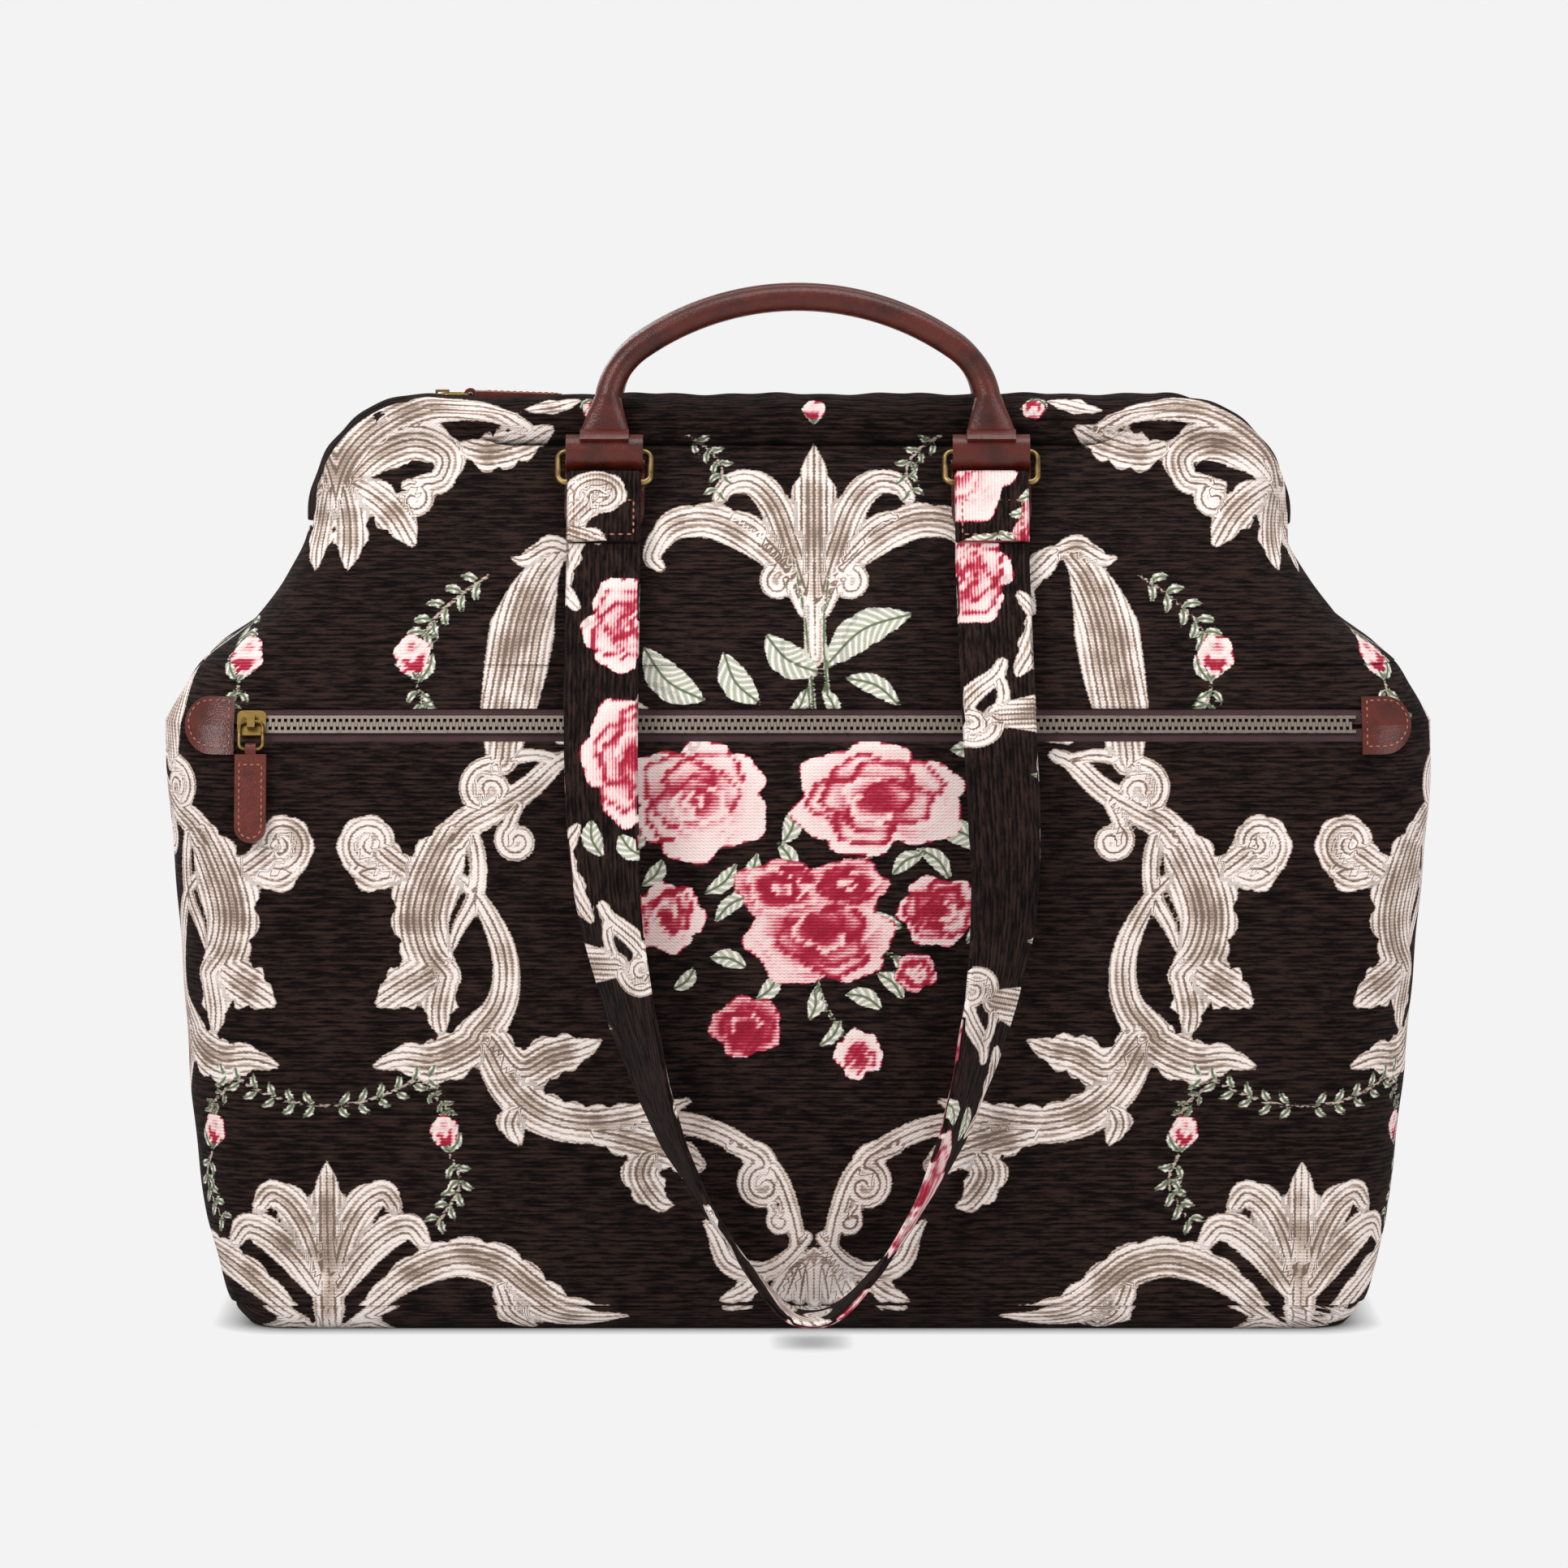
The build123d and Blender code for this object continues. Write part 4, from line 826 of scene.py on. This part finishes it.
def gusset(node, side):
    look = gussetLook
    bm, column, row = gridMesh(look["columns"], look["rows"])
    z = np.interp(row, [0, look["rows"]], [bottomEdge, fold])
    share = 2 * column / look["columns"] - 1
    y = share * seamAt(z)
    middle = np.cos(share * pi / 2)
    out = look["ripple"] * np.sin(z / look["ripplePitch"] + side) * middle
    out -= look["drawnIn"] * middle * np.sin(pi * (z - bottomEdge) / (fold - bottomEdge))
    out -= furrow(seamAt(z) - np.abs(y))
    points = np.stack([(sizeAt(z)[0] + out) * side, y * side, z], 1)
    spots = spotsOf(bm, points, look["patternU"] * side + y * side, patternHeight(z, look["deep"]))
    turnIn(bm, spots, [e for e in bm.edges if all(row[p.index] == look["rows"] for p in e.verts)], underFold)
    return finishMesh(bm, node + "Cloth", spots, "bag", node)


# The flat bottom and its turned-up edge, mapped out from its middle in rings.
bottomLook = {"columns": 150, "rows": 90, "flatShare": 0.9, "furrowWide": 2.2, "patternV": -86}


def bottomPanel():
    look = bottomLook
    bm, column, row = gridMesh(look["columns"], look["rows"])
    a, b = 2 * column / look["columns"] - 1, 2 * row / look["rows"] - 1
    ring = np.maximum(np.abs(a), np.abs(b))
    z = np.clip((ring - look["flatShare"]) / (1 - look["flatShare"]), 0, 1) * bottomEdge
    width, deep, radius = sizeAt(z)
    safe = np.maximum(ring, 1e-6)
    x, y = a / safe * width, b / safe * deep
    cx, cy = np.abs(x) - (width - radius), np.abs(y) - (deep - radius)
    corner = (cx > 0) & (cy > 0)
    stretch = np.where(corner, np.maximum(cx, cy) / np.maximum(np.hypot(cx, cy), 1e-6), 1)
    x = np.where(corner, np.sign(x) * (width - radius + cx * stretch), x)
    y = np.where(corner, np.sign(y) * (deep - radius + cy * stretch), y)
    inwards = np.clip(ring / look["flatShare"], 0, 1)
    dip = furrow(z - bottomEdge, look["furrowWide"])
    x, y = x * inwards - np.sign(x) * dip, y * inwards - np.sign(y) * dip * 0.6
    spots = spotsOf(bm, np.stack([x, y, z], 1), x, z + look["patternV"] + np.abs(y))
    return finishMesh(bm, "bottomPanelCloth", spots, "bag", "bottom_panel", recalc=True)


def smoothStep(t):
    t = np.clip(t, 0, 1)
    return t * t * (3 - 2 * t)


# How far outside the hoop's centre line a point lies, seen from the front, and where the front
# of the sleeve is there.
def aroundHoop(x, z):
    leg = np.where(x < 0, hoop["innerLeg"], hoop["outerLeg"])
    r, tube = hoop["corner"], hoop["radius"]
    forward = np.zeros(len(x))
    for _ in range(3):
        pv = (z - hoop["hinge"] + forward * sin(hoopLean)) / cos(hoopLean)
        dx, dv = np.abs(x) - (leg - r), pv - (hoopRise - r)
        beside = np.where(dv < 0, np.abs(x) - leg, np.hypot(np.maximum(dx, 0), dv) - r)
        out = np.where(dx < 0, pv - hoopRise, beside)
        forward = np.sqrt(np.maximum(tube ** 2 - out ** 2, 0))
    return out, -pv * sin(hoopLean) - forward * cos(hoopLean)


# The cloth above the fold, up to the mouth. At the corners it is drawn up over the sleeve.
upperLook = {
    # columns, rows, columns of half the face, row of the step
    "front": (300, 62, 122, 33), "rear": (240, 50, 98, 27),
    "stepZ": 306.0, "faceZ": [256, 275, 300], "faceX": [209, 200, 192.5],
    "cover": 9.4,  # how far the cloth reaches past the hoop's centre line
    "cornerFrom": 112, "cornerRun": 46, "legTop": 49.4, "leanShare": 0.9893,
    "lapFrom": 298, "lapRun": 14, "lapWide": 17, "lapOver": 0.6, "lapAll": (326, 100),
    "crease": (0.9, 336, 3.0, 120),  # under the sleeve: depth, height, half width, as far as this x
    "seam": 0.3,  # half the gap between the two upper cloths
}


def upperPanel(end):
    rear, look = end == "rear", upperLook
    columns, rows, innerColumns, stepRow = look[end]
    bm, column, row = gridMesh(columns, rows)
    a = 2 * column / columns - 1
    inner = 2 * innerColumns / columns
    onFace = np.abs(a) <= inner
    leg = np.where(a < 0, hoop["innerLeg"], hoop["outerLeg"]) + look["cover"]
    low = np.interp(row, [0, stepRow], [fold, look["stepZ"]])
    topZ, topX = look["faceZ"][-1], look["faceX"][-1]
    towardsLeg = topX + (leg - topX) * (low - topZ) / (look["stepZ"] - topZ)
    xInner = np.where(low > topZ, towardsLeg, np.interp(low, look["faceZ"], look["faceX"]))
    x = np.minimum(np.abs(a) / inner, 1) * xInner
    cornerX, reach = leg - look["cover"] - hoop["corner"], hoop["corner"] + look["cover"]
    arch = np.sqrt(np.maximum(reach ** 2 - np.maximum(x - cornerX, 0) ** 2, 0))
    outline = hoop["hinge"] + look["leanShare"] * (look["legTop"] + arch)
    top = bodyShape["top"]
    crest = top + (outline - top) * smoothStep((x - look["cornerFrom"]) / look["cornerRun"])
    high = look["stepZ"] + (row - stepRow) / (rows - stepRow) * (crest - look["stepZ"])
    z = np.where(row <= stepRow, low, high)
    width = sizeAt(z)[0]
    sEdge = arcLength(z, look["seam"])
    sInner = arcOfX(z, np.minimum(xInner, width - 0.1))
    onSide = sInner + (np.abs(a) - inner) / (1 - inner) * (sEdge - sInner)
    s = np.where(onFace, arcOfX(z, np.minimum(x, width - 0.1)), onSide) * np.sign(a)
    bodyX, y, nx, ny = outlinePoint(z, s)
    x = np.where(onFace, x * np.sign(a), bodyX)
    out = slump(x, z, 1.3 + rear) * 0.8 * np.clip((sEdge - np.abs(s)) / 20, 0, 1)
    deep, creaseZ, half, creaseX = look["crease"]
    out -= deep * np.exp(-((z - creaseZ) / half) ** 2) * (np.abs(x) < creaseX)
    x, y = x + nx * out, y + ny * out
    beyond, front = aroundHoop(x, z)
    front = front - look["lapOver"]
    lap = smoothStep(1 - (look["cover"] - beyond) / look["lapWide"])
    lap = lap * smoothStep((np.abs(x) - look["cornerFrom"]) / look["cornerRun"])
    lap = lap * smoothStep((z - look["lapFrom"]) / look["lapRun"])
    y = y + (front - y) * lap
    allZ, allX = look["lapAll"]
    y = np.where((z > allZ) & (np.abs(x) > allX), np.minimum(y, front), y)
    points = np.stack([x, np.minimum(y, -look["seam"]), z], 1)
    spots = spotsOf(bm, points, s, patternHeight(z, y))
    outside = [f for f in bm.faces if all(row[p.index] >= stepRow for p in f.verts)
               and any(abs(a[p.index]) > inner + 1e-6 for p in f.verts)]
    bmesh.ops.delete(bm, geom=outside, context="FACES")
    piece = finishMesh(bm, end + "UpperCloth", spots, None, end + "_upper", turned=rear)
    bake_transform(piece)
    return piece


mainPanel("front")
mainPanel("rear")
gusset("gusset_left", -1)
gusset("gusset_right", 1)
bottomPanel()
upperPanel("front")
upperPanel("rear")
print("body panels ready")

# The fabric sleeve of each hoop, gathered a little round the corners.
sleeveLook = {
    "steps": 280, "around": 30, "crease": -1.2,  # the turn at which the sleeve starts, at its front foot
    "pucker": 0.35, "fine": 0.25, "cornerAt": 172, "cornerRun": 40,
    "patternTurn": 0.5, "patternV": 355.0,  # past this turn the cloth is measured round the sleeve
    "endShrink": 0.4,
}


# Points and headings of the hoop's centre line in the plane of the hoop, as (x, height).
def hoopLine(steps):
    r, left, right, endV = hoop["corner"], -hoop["innerLeg"], hoop["outerLeg"], hoop["endV"]
    leg = hoopRise - r - endV
    parts = [leg, r * pi / 2, right - left - 2 * r, r * pi / 2, leg]
    total = sum(parts)
    run = np.linspace(0, total, steps)
    stops = np.concatenate([[0], np.cumsum(parts)])
    line, heading = np.zeros((steps, 2)), np.zeros(steps)
    for i, t in enumerate(run):
        if t <= stops[1]:
            line[i], heading[i] = (left, endV + t), pi / 2
        elif t <= stops[2]:
            turn = (t - stops[1]) / r
            line[i], heading[i] = (left + r - r * cos(turn), hoopRise - r + r * sin(turn)), pi / 2 - turn
        elif t <= stops[3]:
            line[i], heading[i] = (left + r + t - stops[2], hoopRise), 0
        elif t <= stops[4]:
            turn = (t - stops[3]) / r
            line[i], heading[i] = (right - r + r * sin(turn), hoopRise - r + r * cos(turn)), -turn
        else:
            line[i], heading[i] = (right, hoopRise - r - (t - stops[4])), -pi / 2
    return line, heading, run, total


def sleeve(end):
    look, radius = sleeveLook, hoop["radius"]
    steps, around = look["steps"], look["around"]
    line, heading, run, total = hoopLine(steps + 1)
    bm, column, row = gridMesh(steps, around)
    angle = 2 * pi * row / around
    centre, head = line[column], heading[column]
    along = run[column] - total / 2
    lift = look["crease"] + angle
    puffed = radius + look["pucker"] * np.sin(along / 8.0 + 2 * np.sin(angle))
    puffed = puffed + look["fine"] * np.sin(along / 3.1 + angle * 2)
    corner = np.clip(1 - np.abs(np.abs(along) - look["cornerAt"]) / look["cornerRun"], 0, 1)
    puffed += corner * look["pucker"] * np.sin(along / 2.2)
    planar, forward = puffed * np.sin(lift), puffed * np.cos(lift)
    px = centre[:, 0] - np.sin(head) * planar
    pv = centre[:, 1] + np.cos(head) * planar
    y = np.minimum(-pv * sin(hoopLean) - forward * cos(hoopLean), -hoop["gap"])
    z = hoop["hinge"] + pv * cos(hoopLean) - forward * sin(hoopLean)
    bmesh.ops.reverse_faces(bm, faces=bm.faces)
    past = lift - look["patternTurn"]
    roundTop = look["patternV"] + radius * sin(look["patternTurn"]) + radius * past
    spots = spotsOf(bm, np.stack([px, y, z], 1), px, np.where(past < 0, patternHeight(z, y), roundTop))
    ends = [e for e in bm.edges if column[e.verts[0].index] == column[e.verts[1].index]
            and column[e.verts[0].index] in (0, steps)]

    def toRod(vert, place):
        c, cv = centre[vert.index]
        hub = Vector((c, -cv * sin(hoopLean), hoop["hinge"] + cv * cos(hoopLean)))
        return hub + (place - hub) * look["endShrink"]

    turnIn(bm, spots, ends, toRod)
    return finishMesh(bm, end + "SleeveCloth", spots, end + "_mouth", end + "_sleeve", turned=end == "rear")


# Half of the cloth that folds between the hoops at one end of the mouth.
pleatLook = {"columns": 10, "rows": 30, "low": 258, "high": 334, "x": 174.5, "deep": 11.0, "wave": 0.7,
             "thickness": 0.0012, "blendReach": 0.011}


def pleat(end, side):
    rear, look = end == "rear", pleatLook
    bm, column, row = gridMesh(look["columns"], look["rows"])
    across, up = column / look["columns"], row / look["rows"]
    z = look["low"] + up * (look["high"] - look["low"])
    depth = across * look["deep"]
    wave = look["wave"] * np.sin(across * 2 * pi) * np.sin(up * pi)
    points = np.stack([side * (look["x"] + wave), depth if rear else -depth, z], 1)
    if (side > 0) != rear:
        bmesh.ops.reverse_faces(bm, faces=bm.faces)
    name = end + "Pleat" + ("Right" if side > 0 else "Left")
    piece = finishMesh(bm, name, spotsOf(bm, points, depth, z), figured=False)
    solid = piece.modifiers.new("thickness", "SOLIDIFY")
    solid.thickness, solid.offset = look["thickness"], 0
    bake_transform(piece)


for end in ("front", "rear"):
    sleeve(end)
    for side in (-1, 1):
        pleat(end, side)
print("sleeves ready")

# Shoulder straps: a flat tube of the same cloth, folded round a ring at each end. It hangs from
# the rings over the zip and below it turns edge on to the front.
strapLook = {
    "width": 28.7, "thickness": 2.6, "lean": 31.7, "spacing": 150.6, "bar": (0, -38.333, 324.643),
    "columns": 16, "step": 1.9, "edgeRound": 1.1,
    # round the ring: along the strap and outwards from the ring's bar
    "fold": [(27, 1.45), (15, 1.6), (5, 2.2), (-1.9, 2.4), (-3.1, 0), (-1.9, -2.4), (5, -1.7), (15, -1.45),
             (27, -1.2), (42, 0)],
    # hanging: x, y, z and the turn of its width in degrees
    "hang": [(-75.3, -96, 236, -8), (-74.3, -109.35, 200, -16), (-71.8, -114.35, 168, -28),
             (-66.3, -114.35, 138, -42), (-58.3, -114.35, 107, -56), (-46.8, -114.35, 75, -70),
             (-28.3, -114.35, 42, -82), (-9.3, -114.35, 16, -88), (4, -114.35, 8.8, -90),
             (18, -114.35, 14, -92), (38, -114.35, 38, -98), (56, -114.35, 72, -110),
             (67, -114.35, 105, -124), (74.5, -114.35, 138, -140), (78.3, -114.35, 168, -154),
             (78.3, -109.35, 200, -164), (76.8, -96, 236, -172)],
    "sewn": 50, "easing": 40,  # the doubled ends stay flat, the rest is puffed and rippled
    "puff": 0.22, "seamDip": 0.3, "seamIn": 3.4, "seamWide": 0.8, "ripple": 0.17,
    "patternStretch": 1.22, "patternU": -222, "patternV": 192, "backU": 60, "backV": 30,
}
lean = radians(strapLook["lean"])
outward = np.array([0, -cos(lean), sin(lean)])
downward = np.array([0, -sin(lean), -cos(lean)])
bar = np.array(strapLook["bar"])


# Centre and turn of the width for each step along the strap, and how far along it is.
def strapLine():
    half, ring = np.array([strapLook["spacing"] / 2, 0, 0]), strapLook["fold"]
    left = [(*(bar + downward * d + outward * o - half), 0) for d, o in ring]
    right = [(*(bar + downward * d + outward * o + half), -180) for d, o in reversed(ring)]
    fine = flowing(np.array(left + strapLook["hang"] + right, float), 12)
    gap = np.hypot(np.hypot(*np.diff(fine[:, :2], axis=0).T), np.diff(fine[:, 2]))
    run = np.concatenate([[0], np.cumsum(gap)])
    t = np.linspace(0, run[-1], int(run[-1] / strapLook["step"]) + 1)
    return np.stack([np.interp(t, run, fine[:, k]) for k in range(4)], 1), t


def strap(end):
    look = strapLook
    line, run = strapLine()
    n, w, h = look["columns"], look["width"] / 2, look["thickness"] / 2
    bm, column, row = gridMesh(2 * n + 4, len(line) - 1)
    ahead = np.gradient(line[:, :3], axis=0)
    ahead /= np.linalg.norm(ahead, axis=1)[:, None]
    turn = np.radians(line[:, 3])
    wide = np.stack([np.cos(turn), np.sin(turn), 0 * turn], 1)
    wide -= ahead * (wide * ahead).sum(1)[:, None]
    wide /= np.linalg.norm(wide, axis=1)[:, None]
    face = np.cross(wide, ahead)
    # once round the flat section: face, edge, back, edge
    flat = w - look["edgeRound"]
    section = [(-flat + 2 * flat * k / n, h) for k in range(n + 1)] + [(w, 0.0)]
    section += [(flat - 2 * flat * k / n, -h) for k in range(n + 1)] + [(-w, 0.0), (-flat, h)]
    sx, sy = np.array(section)[column].T
    along = run[row]
    free = np.clip((along - look["sewn"]) / look["easing"], 0, 1)
    free = free * np.clip((run[-1] - look["sewn"] - along) / look["easing"], 0, 1)
    puff = look["puff"] * free * np.cos(np.clip(sx / w, -1, 1) * pi / 2)
    puff = puff - look["seamDip"] * np.exp(-((np.abs(sx) - w + look["seamIn"]) / look["seamWide"]) ** 2)
    ripple = np.sin(along / 7.0 + sx / 9) + 0.8 * np.sin(along / 4.1 - sx / 5 + 1.3)
    sy = sy * (1 + puff) + look["ripple"] * ripple * free
    points = line[row][:, :3] + wide[row] * sx[:, None] + face[row] * sy[:, None]
    points[:, 2] = np.maximum(points[:, 2], 0.5)
    u = along * look["patternStretch"] + look["patternU"] + np.where(sy < 0, look["backU"], 0)
    v = look["patternV"] + np.where(sy >= 0, sx, -sx + look["backV"])
    spots = spotsOf(bm, points, u, v)
    for vert, point in zip(bm.verts, points):
        vert.co = point
    bmesh.ops.weld_verts(bm, targetmap=bmesh.ops.find_doubles(bm, verts=bm.verts, dist=1e-4)["targetmap"])
    bmesh.ops.holes_fill(bm, edges=[e for e in bm.edges if e.is_boundary], sides=0)
    name = end + "_strap"
    return finishMesh(bm, end + "StrapCloth", spots, name, name, recalc=True, turned=end == "rear")


for end in ("front", "rear"):
    strap(end)
print("straps ready")

# waxed thread: from stitch to stitch, length and radius of a stitch
stitchLook = {"strap": (2.9, 2.1, 0.38), "handle": (3.0, 2.2, 0.34), "zipEnd": (2.7, 1.9, 0.33),
              "pull": (2.5, 1.8, 0.3)}


# Stitches that follow a line of points; normals point away from the work.
def stitchLine(bm, line, normals, kind, rear=False):
    pitch, length, radius = stitchLook[kind]
    line, normals = np.array(line, float), np.array(normals, float)
    if rear:
        line[:, :2] *= -1
        normals[:, :2] *= -1
    run = np.concatenate([[0], np.cumsum(np.linalg.norm(np.diff(line, axis=0), axis=1))])
    count = max(int(run[-1] / pitch), 1)

    def at(t, values):
        return Vector([np.interp(t, run, values[:, i]) for i in range(3)])

    for k in range(count):
        t = (k + 0.5) * run[-1] / count
        along = (at(min(t + 0.5, run[-1]), line) - at(max(t - 0.5, 0), line)).normalized()
        across = at(t, normals).normalized().cross(along).normalized()
        turn = Matrix((along, across, along.cross(across))).transposed().to_4x4()
        size = Matrix.Diagonal((length / 2, radius, radius * 0.8, 1))
        bmesh.ops.create_uvsphere(
            bm, u_segments=6, v_segments=4, radius=1, matrix=Matrix.Translation(at(t, line)) @ turn @ size)


def stitchPiece(name, bm, body):
    for face in bm.faces:
        face.smooth = True
    bmesh.ops.transform(bm, matrix=Matrix.Scale(mm, 4), verts=bm.verts)
    mesh = bpy.data.meshes.new(name)
    bm.to_mesh(mesh)
    bm.free()
    mesh.materials.append(thread)
    piece = bpy.data.objects.new(name, mesh)
    bpy.context.scene.collection.objects.link(piece)
    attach(piece, body)


# a box of stitches through the doubled end of each strap: half width, nearest and farthest from the bar
strapBox = {"half": 11.6, "near": 9.5, "far": 24.4, "out": 2.95}
# the rolled handle's curve above its feet, closed by one seam on its inner side
handleSeam = {
    "span": 74.0, "rise": 22.0, "apex": 61.0, "start": 80, "bend": 35,
    "topRadius": 107.24, "sideRadius": 30.37, "lean": 12.5, "centre": (0, -31.285, 336.04),
    "out": 5.15, "inner": 0.72, "facing": 0.69,  # the seam's place round the handle
}
for end in ("front", "rear"):
    bm = bmesh.new()
    half, near, far = strapBox["half"], strapBox["near"], strapBox["far"]
    corners = [(-half, near), (half, near), (half, far), (-half, far), (-half, near)]
    for side in (-1, 1):
        foot = np.array([side * strapLook["spacing"] / 2, 0, 0])
        for pair in zip(corners, corners[1:]):
            ends = [bar + downward * d + outward * strapBox["out"] + foot + np.array([x, 0, 0])
                    for x, d in pair]
            stitchLine(bm, ends, [outward, outward], "strap", end == "rear")
    stitchPiece(end + "StrapStitches", bm, end + "_strap")

    bm = bmesh.new()
    look = handleSeam
    start, bend, tip = radians(look["start"]), radians(look["bend"]), radians(look["lean"])
    big, small = look["topRadius"], look["sideRadius"]
    arc = [(-look["span"] + small * (sin(start) - sin(t)), look["rise"] + small * (cos(t) - cos(start)), t)
           for t in np.linspace(start, bend, 14)]
    arc += [(-big * sin(t), look["apex"] - big * (1 - cos(t)), t) for t in np.linspace(bend, -bend, 40)[1:]]
    arc += [(-x, h, -t) for x, h, t in reversed(arc[:13])]
    upward, facing = np.array([0, sin(tip), cos(tip)]), np.array([0, -cos(tip), sin(tip)])
    line, normals = [], []
    for x, h, t in arc:
        away = (np.array([sin(t), 0, 0]) - upward * cos(t)) * look["inner"] - facing * look["facing"]
        line.append(np.array(look["centre"]) + np.array([x, 0, 0]) + upward * h + away * look["out"])
        normals.append(away)
    stitchLine(bm, line, normals, "handle", end == "rear")
    stitchPiece(end + "HandleStitches", bm, end + "_handle")

# the leather ends of the front zip: straight inside, round outside
zipEnd = {"inX": 218.3, "turnX": 225.0, "half": 8.5, "reach": 8.4, "out": 2.05, "tip": (0.92, 0.39)}
bm = bmesh.new()
for side in (-1, 1):
    inX, turnX, half, reach = zipEnd["inX"], zipEnd["turnX"], zipEnd["half"], zipEnd["reach"]
    edge = [(inX, zipZ - half), (inX, zipZ + half), (turnX, zipZ + half)]
    edge += [(turnX + reach * sin(t), zipZ + half * cos(t)) for t in np.linspace(0.05, pi - 0.05, 12)]
    edge += [(turnX, zipZ - half), (inX, zipZ - half)]
    x, z = np.array(edge).T
    px, py, nx, ny = outlinePoint(z, arcOfX(z, x) * side)
    level, rise = zipEnd["tip"]
    normals = np.stack([nx * level, ny * level, np.full(len(nx), rise)], 1)
    stitchLine(bm, np.stack([px, py, z], 1) + normals * zipEnd["out"], normals, "zipEnd")
stitchPiece("zipEndStitches", bm, "bag")

# both zip pulls, sewn on both faces: where each hangs from, its length and what it faces
pullLook = {"half": 4.3, "top": 6.0, "turn": 30.0, "face": 1.6, "pocketLean": 12, "mouthLean": 2}
pocketLean, mouthLean = radians(pullLook["pocketLean"]), radians(pullLook["mouthLean"])
for name, origin, along, facing in (
    ("pocket", (-209.7, -86.241, 224.873), (0, -sin(pocketLean), -cos(pocketLean)),
     (0, -cos(pocketLean), sin(pocketLean))),
    ("mouth", (-129.0, 0, 357.2), (cos(mouthLean), 0, -sin(mouthLean)), (sin(mouthLean), 0, cos(mouthLean))),
):
    along, facing = np.array(along), np.array(facing)
    aside = np.cross(along, facing)
    half, top, turn = pullLook["half"], pullLook["top"], pullLook["turn"]
    edge = [(-half, top), (-half, turn)]
    edge += [(-half * cos(t), turn + half * sin(t)) for t in np.linspace(0.1, pi - 0.1, 9)]
    edge += [(half, turn), (half, top), (-half, top)]
    bm = bmesh.new()
    for sign in (1, -1):
        line = [np.array(origin) + aside * p + along * q + facing * sign * pullLook["face"] for p, q in edge]
        stitchLine(bm, line, [facing * sign] * len(line), "pull")
    stitchPiece(name + "PullStitches", bm, name + "_pull")
print("stitches ready")

# A pale seamless sweep: it glows evenly, and a painted contact shadow darkens it only where the bag stands
# on it.
stageLook = {"half": 30, "paper": "#f3f3f3", "paintedContactShadow": 0.012, "light": 0.55}  # metres
bm = bmesh.new()
bmesh.ops.create_grid(bm, x_segments=1, y_segments=1, size=stageLook["half"])
stageMesh = bpy.data.meshes.new("floor")
bm.to_mesh(stageMesh)
bm.free()
floor = bpy.data.objects.new("floor", stageMesh)
bpy.context.scene.collection.objects.link(floor)
paper, paperTree, paperShader = newMaterial("paperSweep", Roughness=1.0)
paperTree.nodes.remove(paperShader)
pale = toLinear(stageLook["paper"])
# painted contact shadow: occlusion near the bag darkens the floor's glow
paintedContactShadow = put(paperTree, "AmbientOcclusion", {"Distance": stageLook["paintedContactShadow"], "Color": pale}, samples=8)
glow = put(paperTree, "Emission", {"Color": paintedContactShadow, "Strength": 1.0})
paperTree.links.new(glow.outputs[0], paperTree.nodes["Material Output"].inputs[0])
stageMesh.materials.append(paper)
world = bpy.data.worlds.new("studio")
bpy.context.scene.world = world
world.use_nodes = True
tree = world.node_tree
tree.nodes.clear()
seen = put(tree, "Background", {"Color": pale, "Strength": 1.0})
lighting = put(tree, "Background", {"Color": (1, 1, 1, 1), "Strength": stageLook["light"]})
path = put(tree, "LightPath").outputs["Is Camera Ray"]
put(tree, "OutputWorld", [put(tree, "MixShader", [path, lighting, seen])])

print("stage ready")
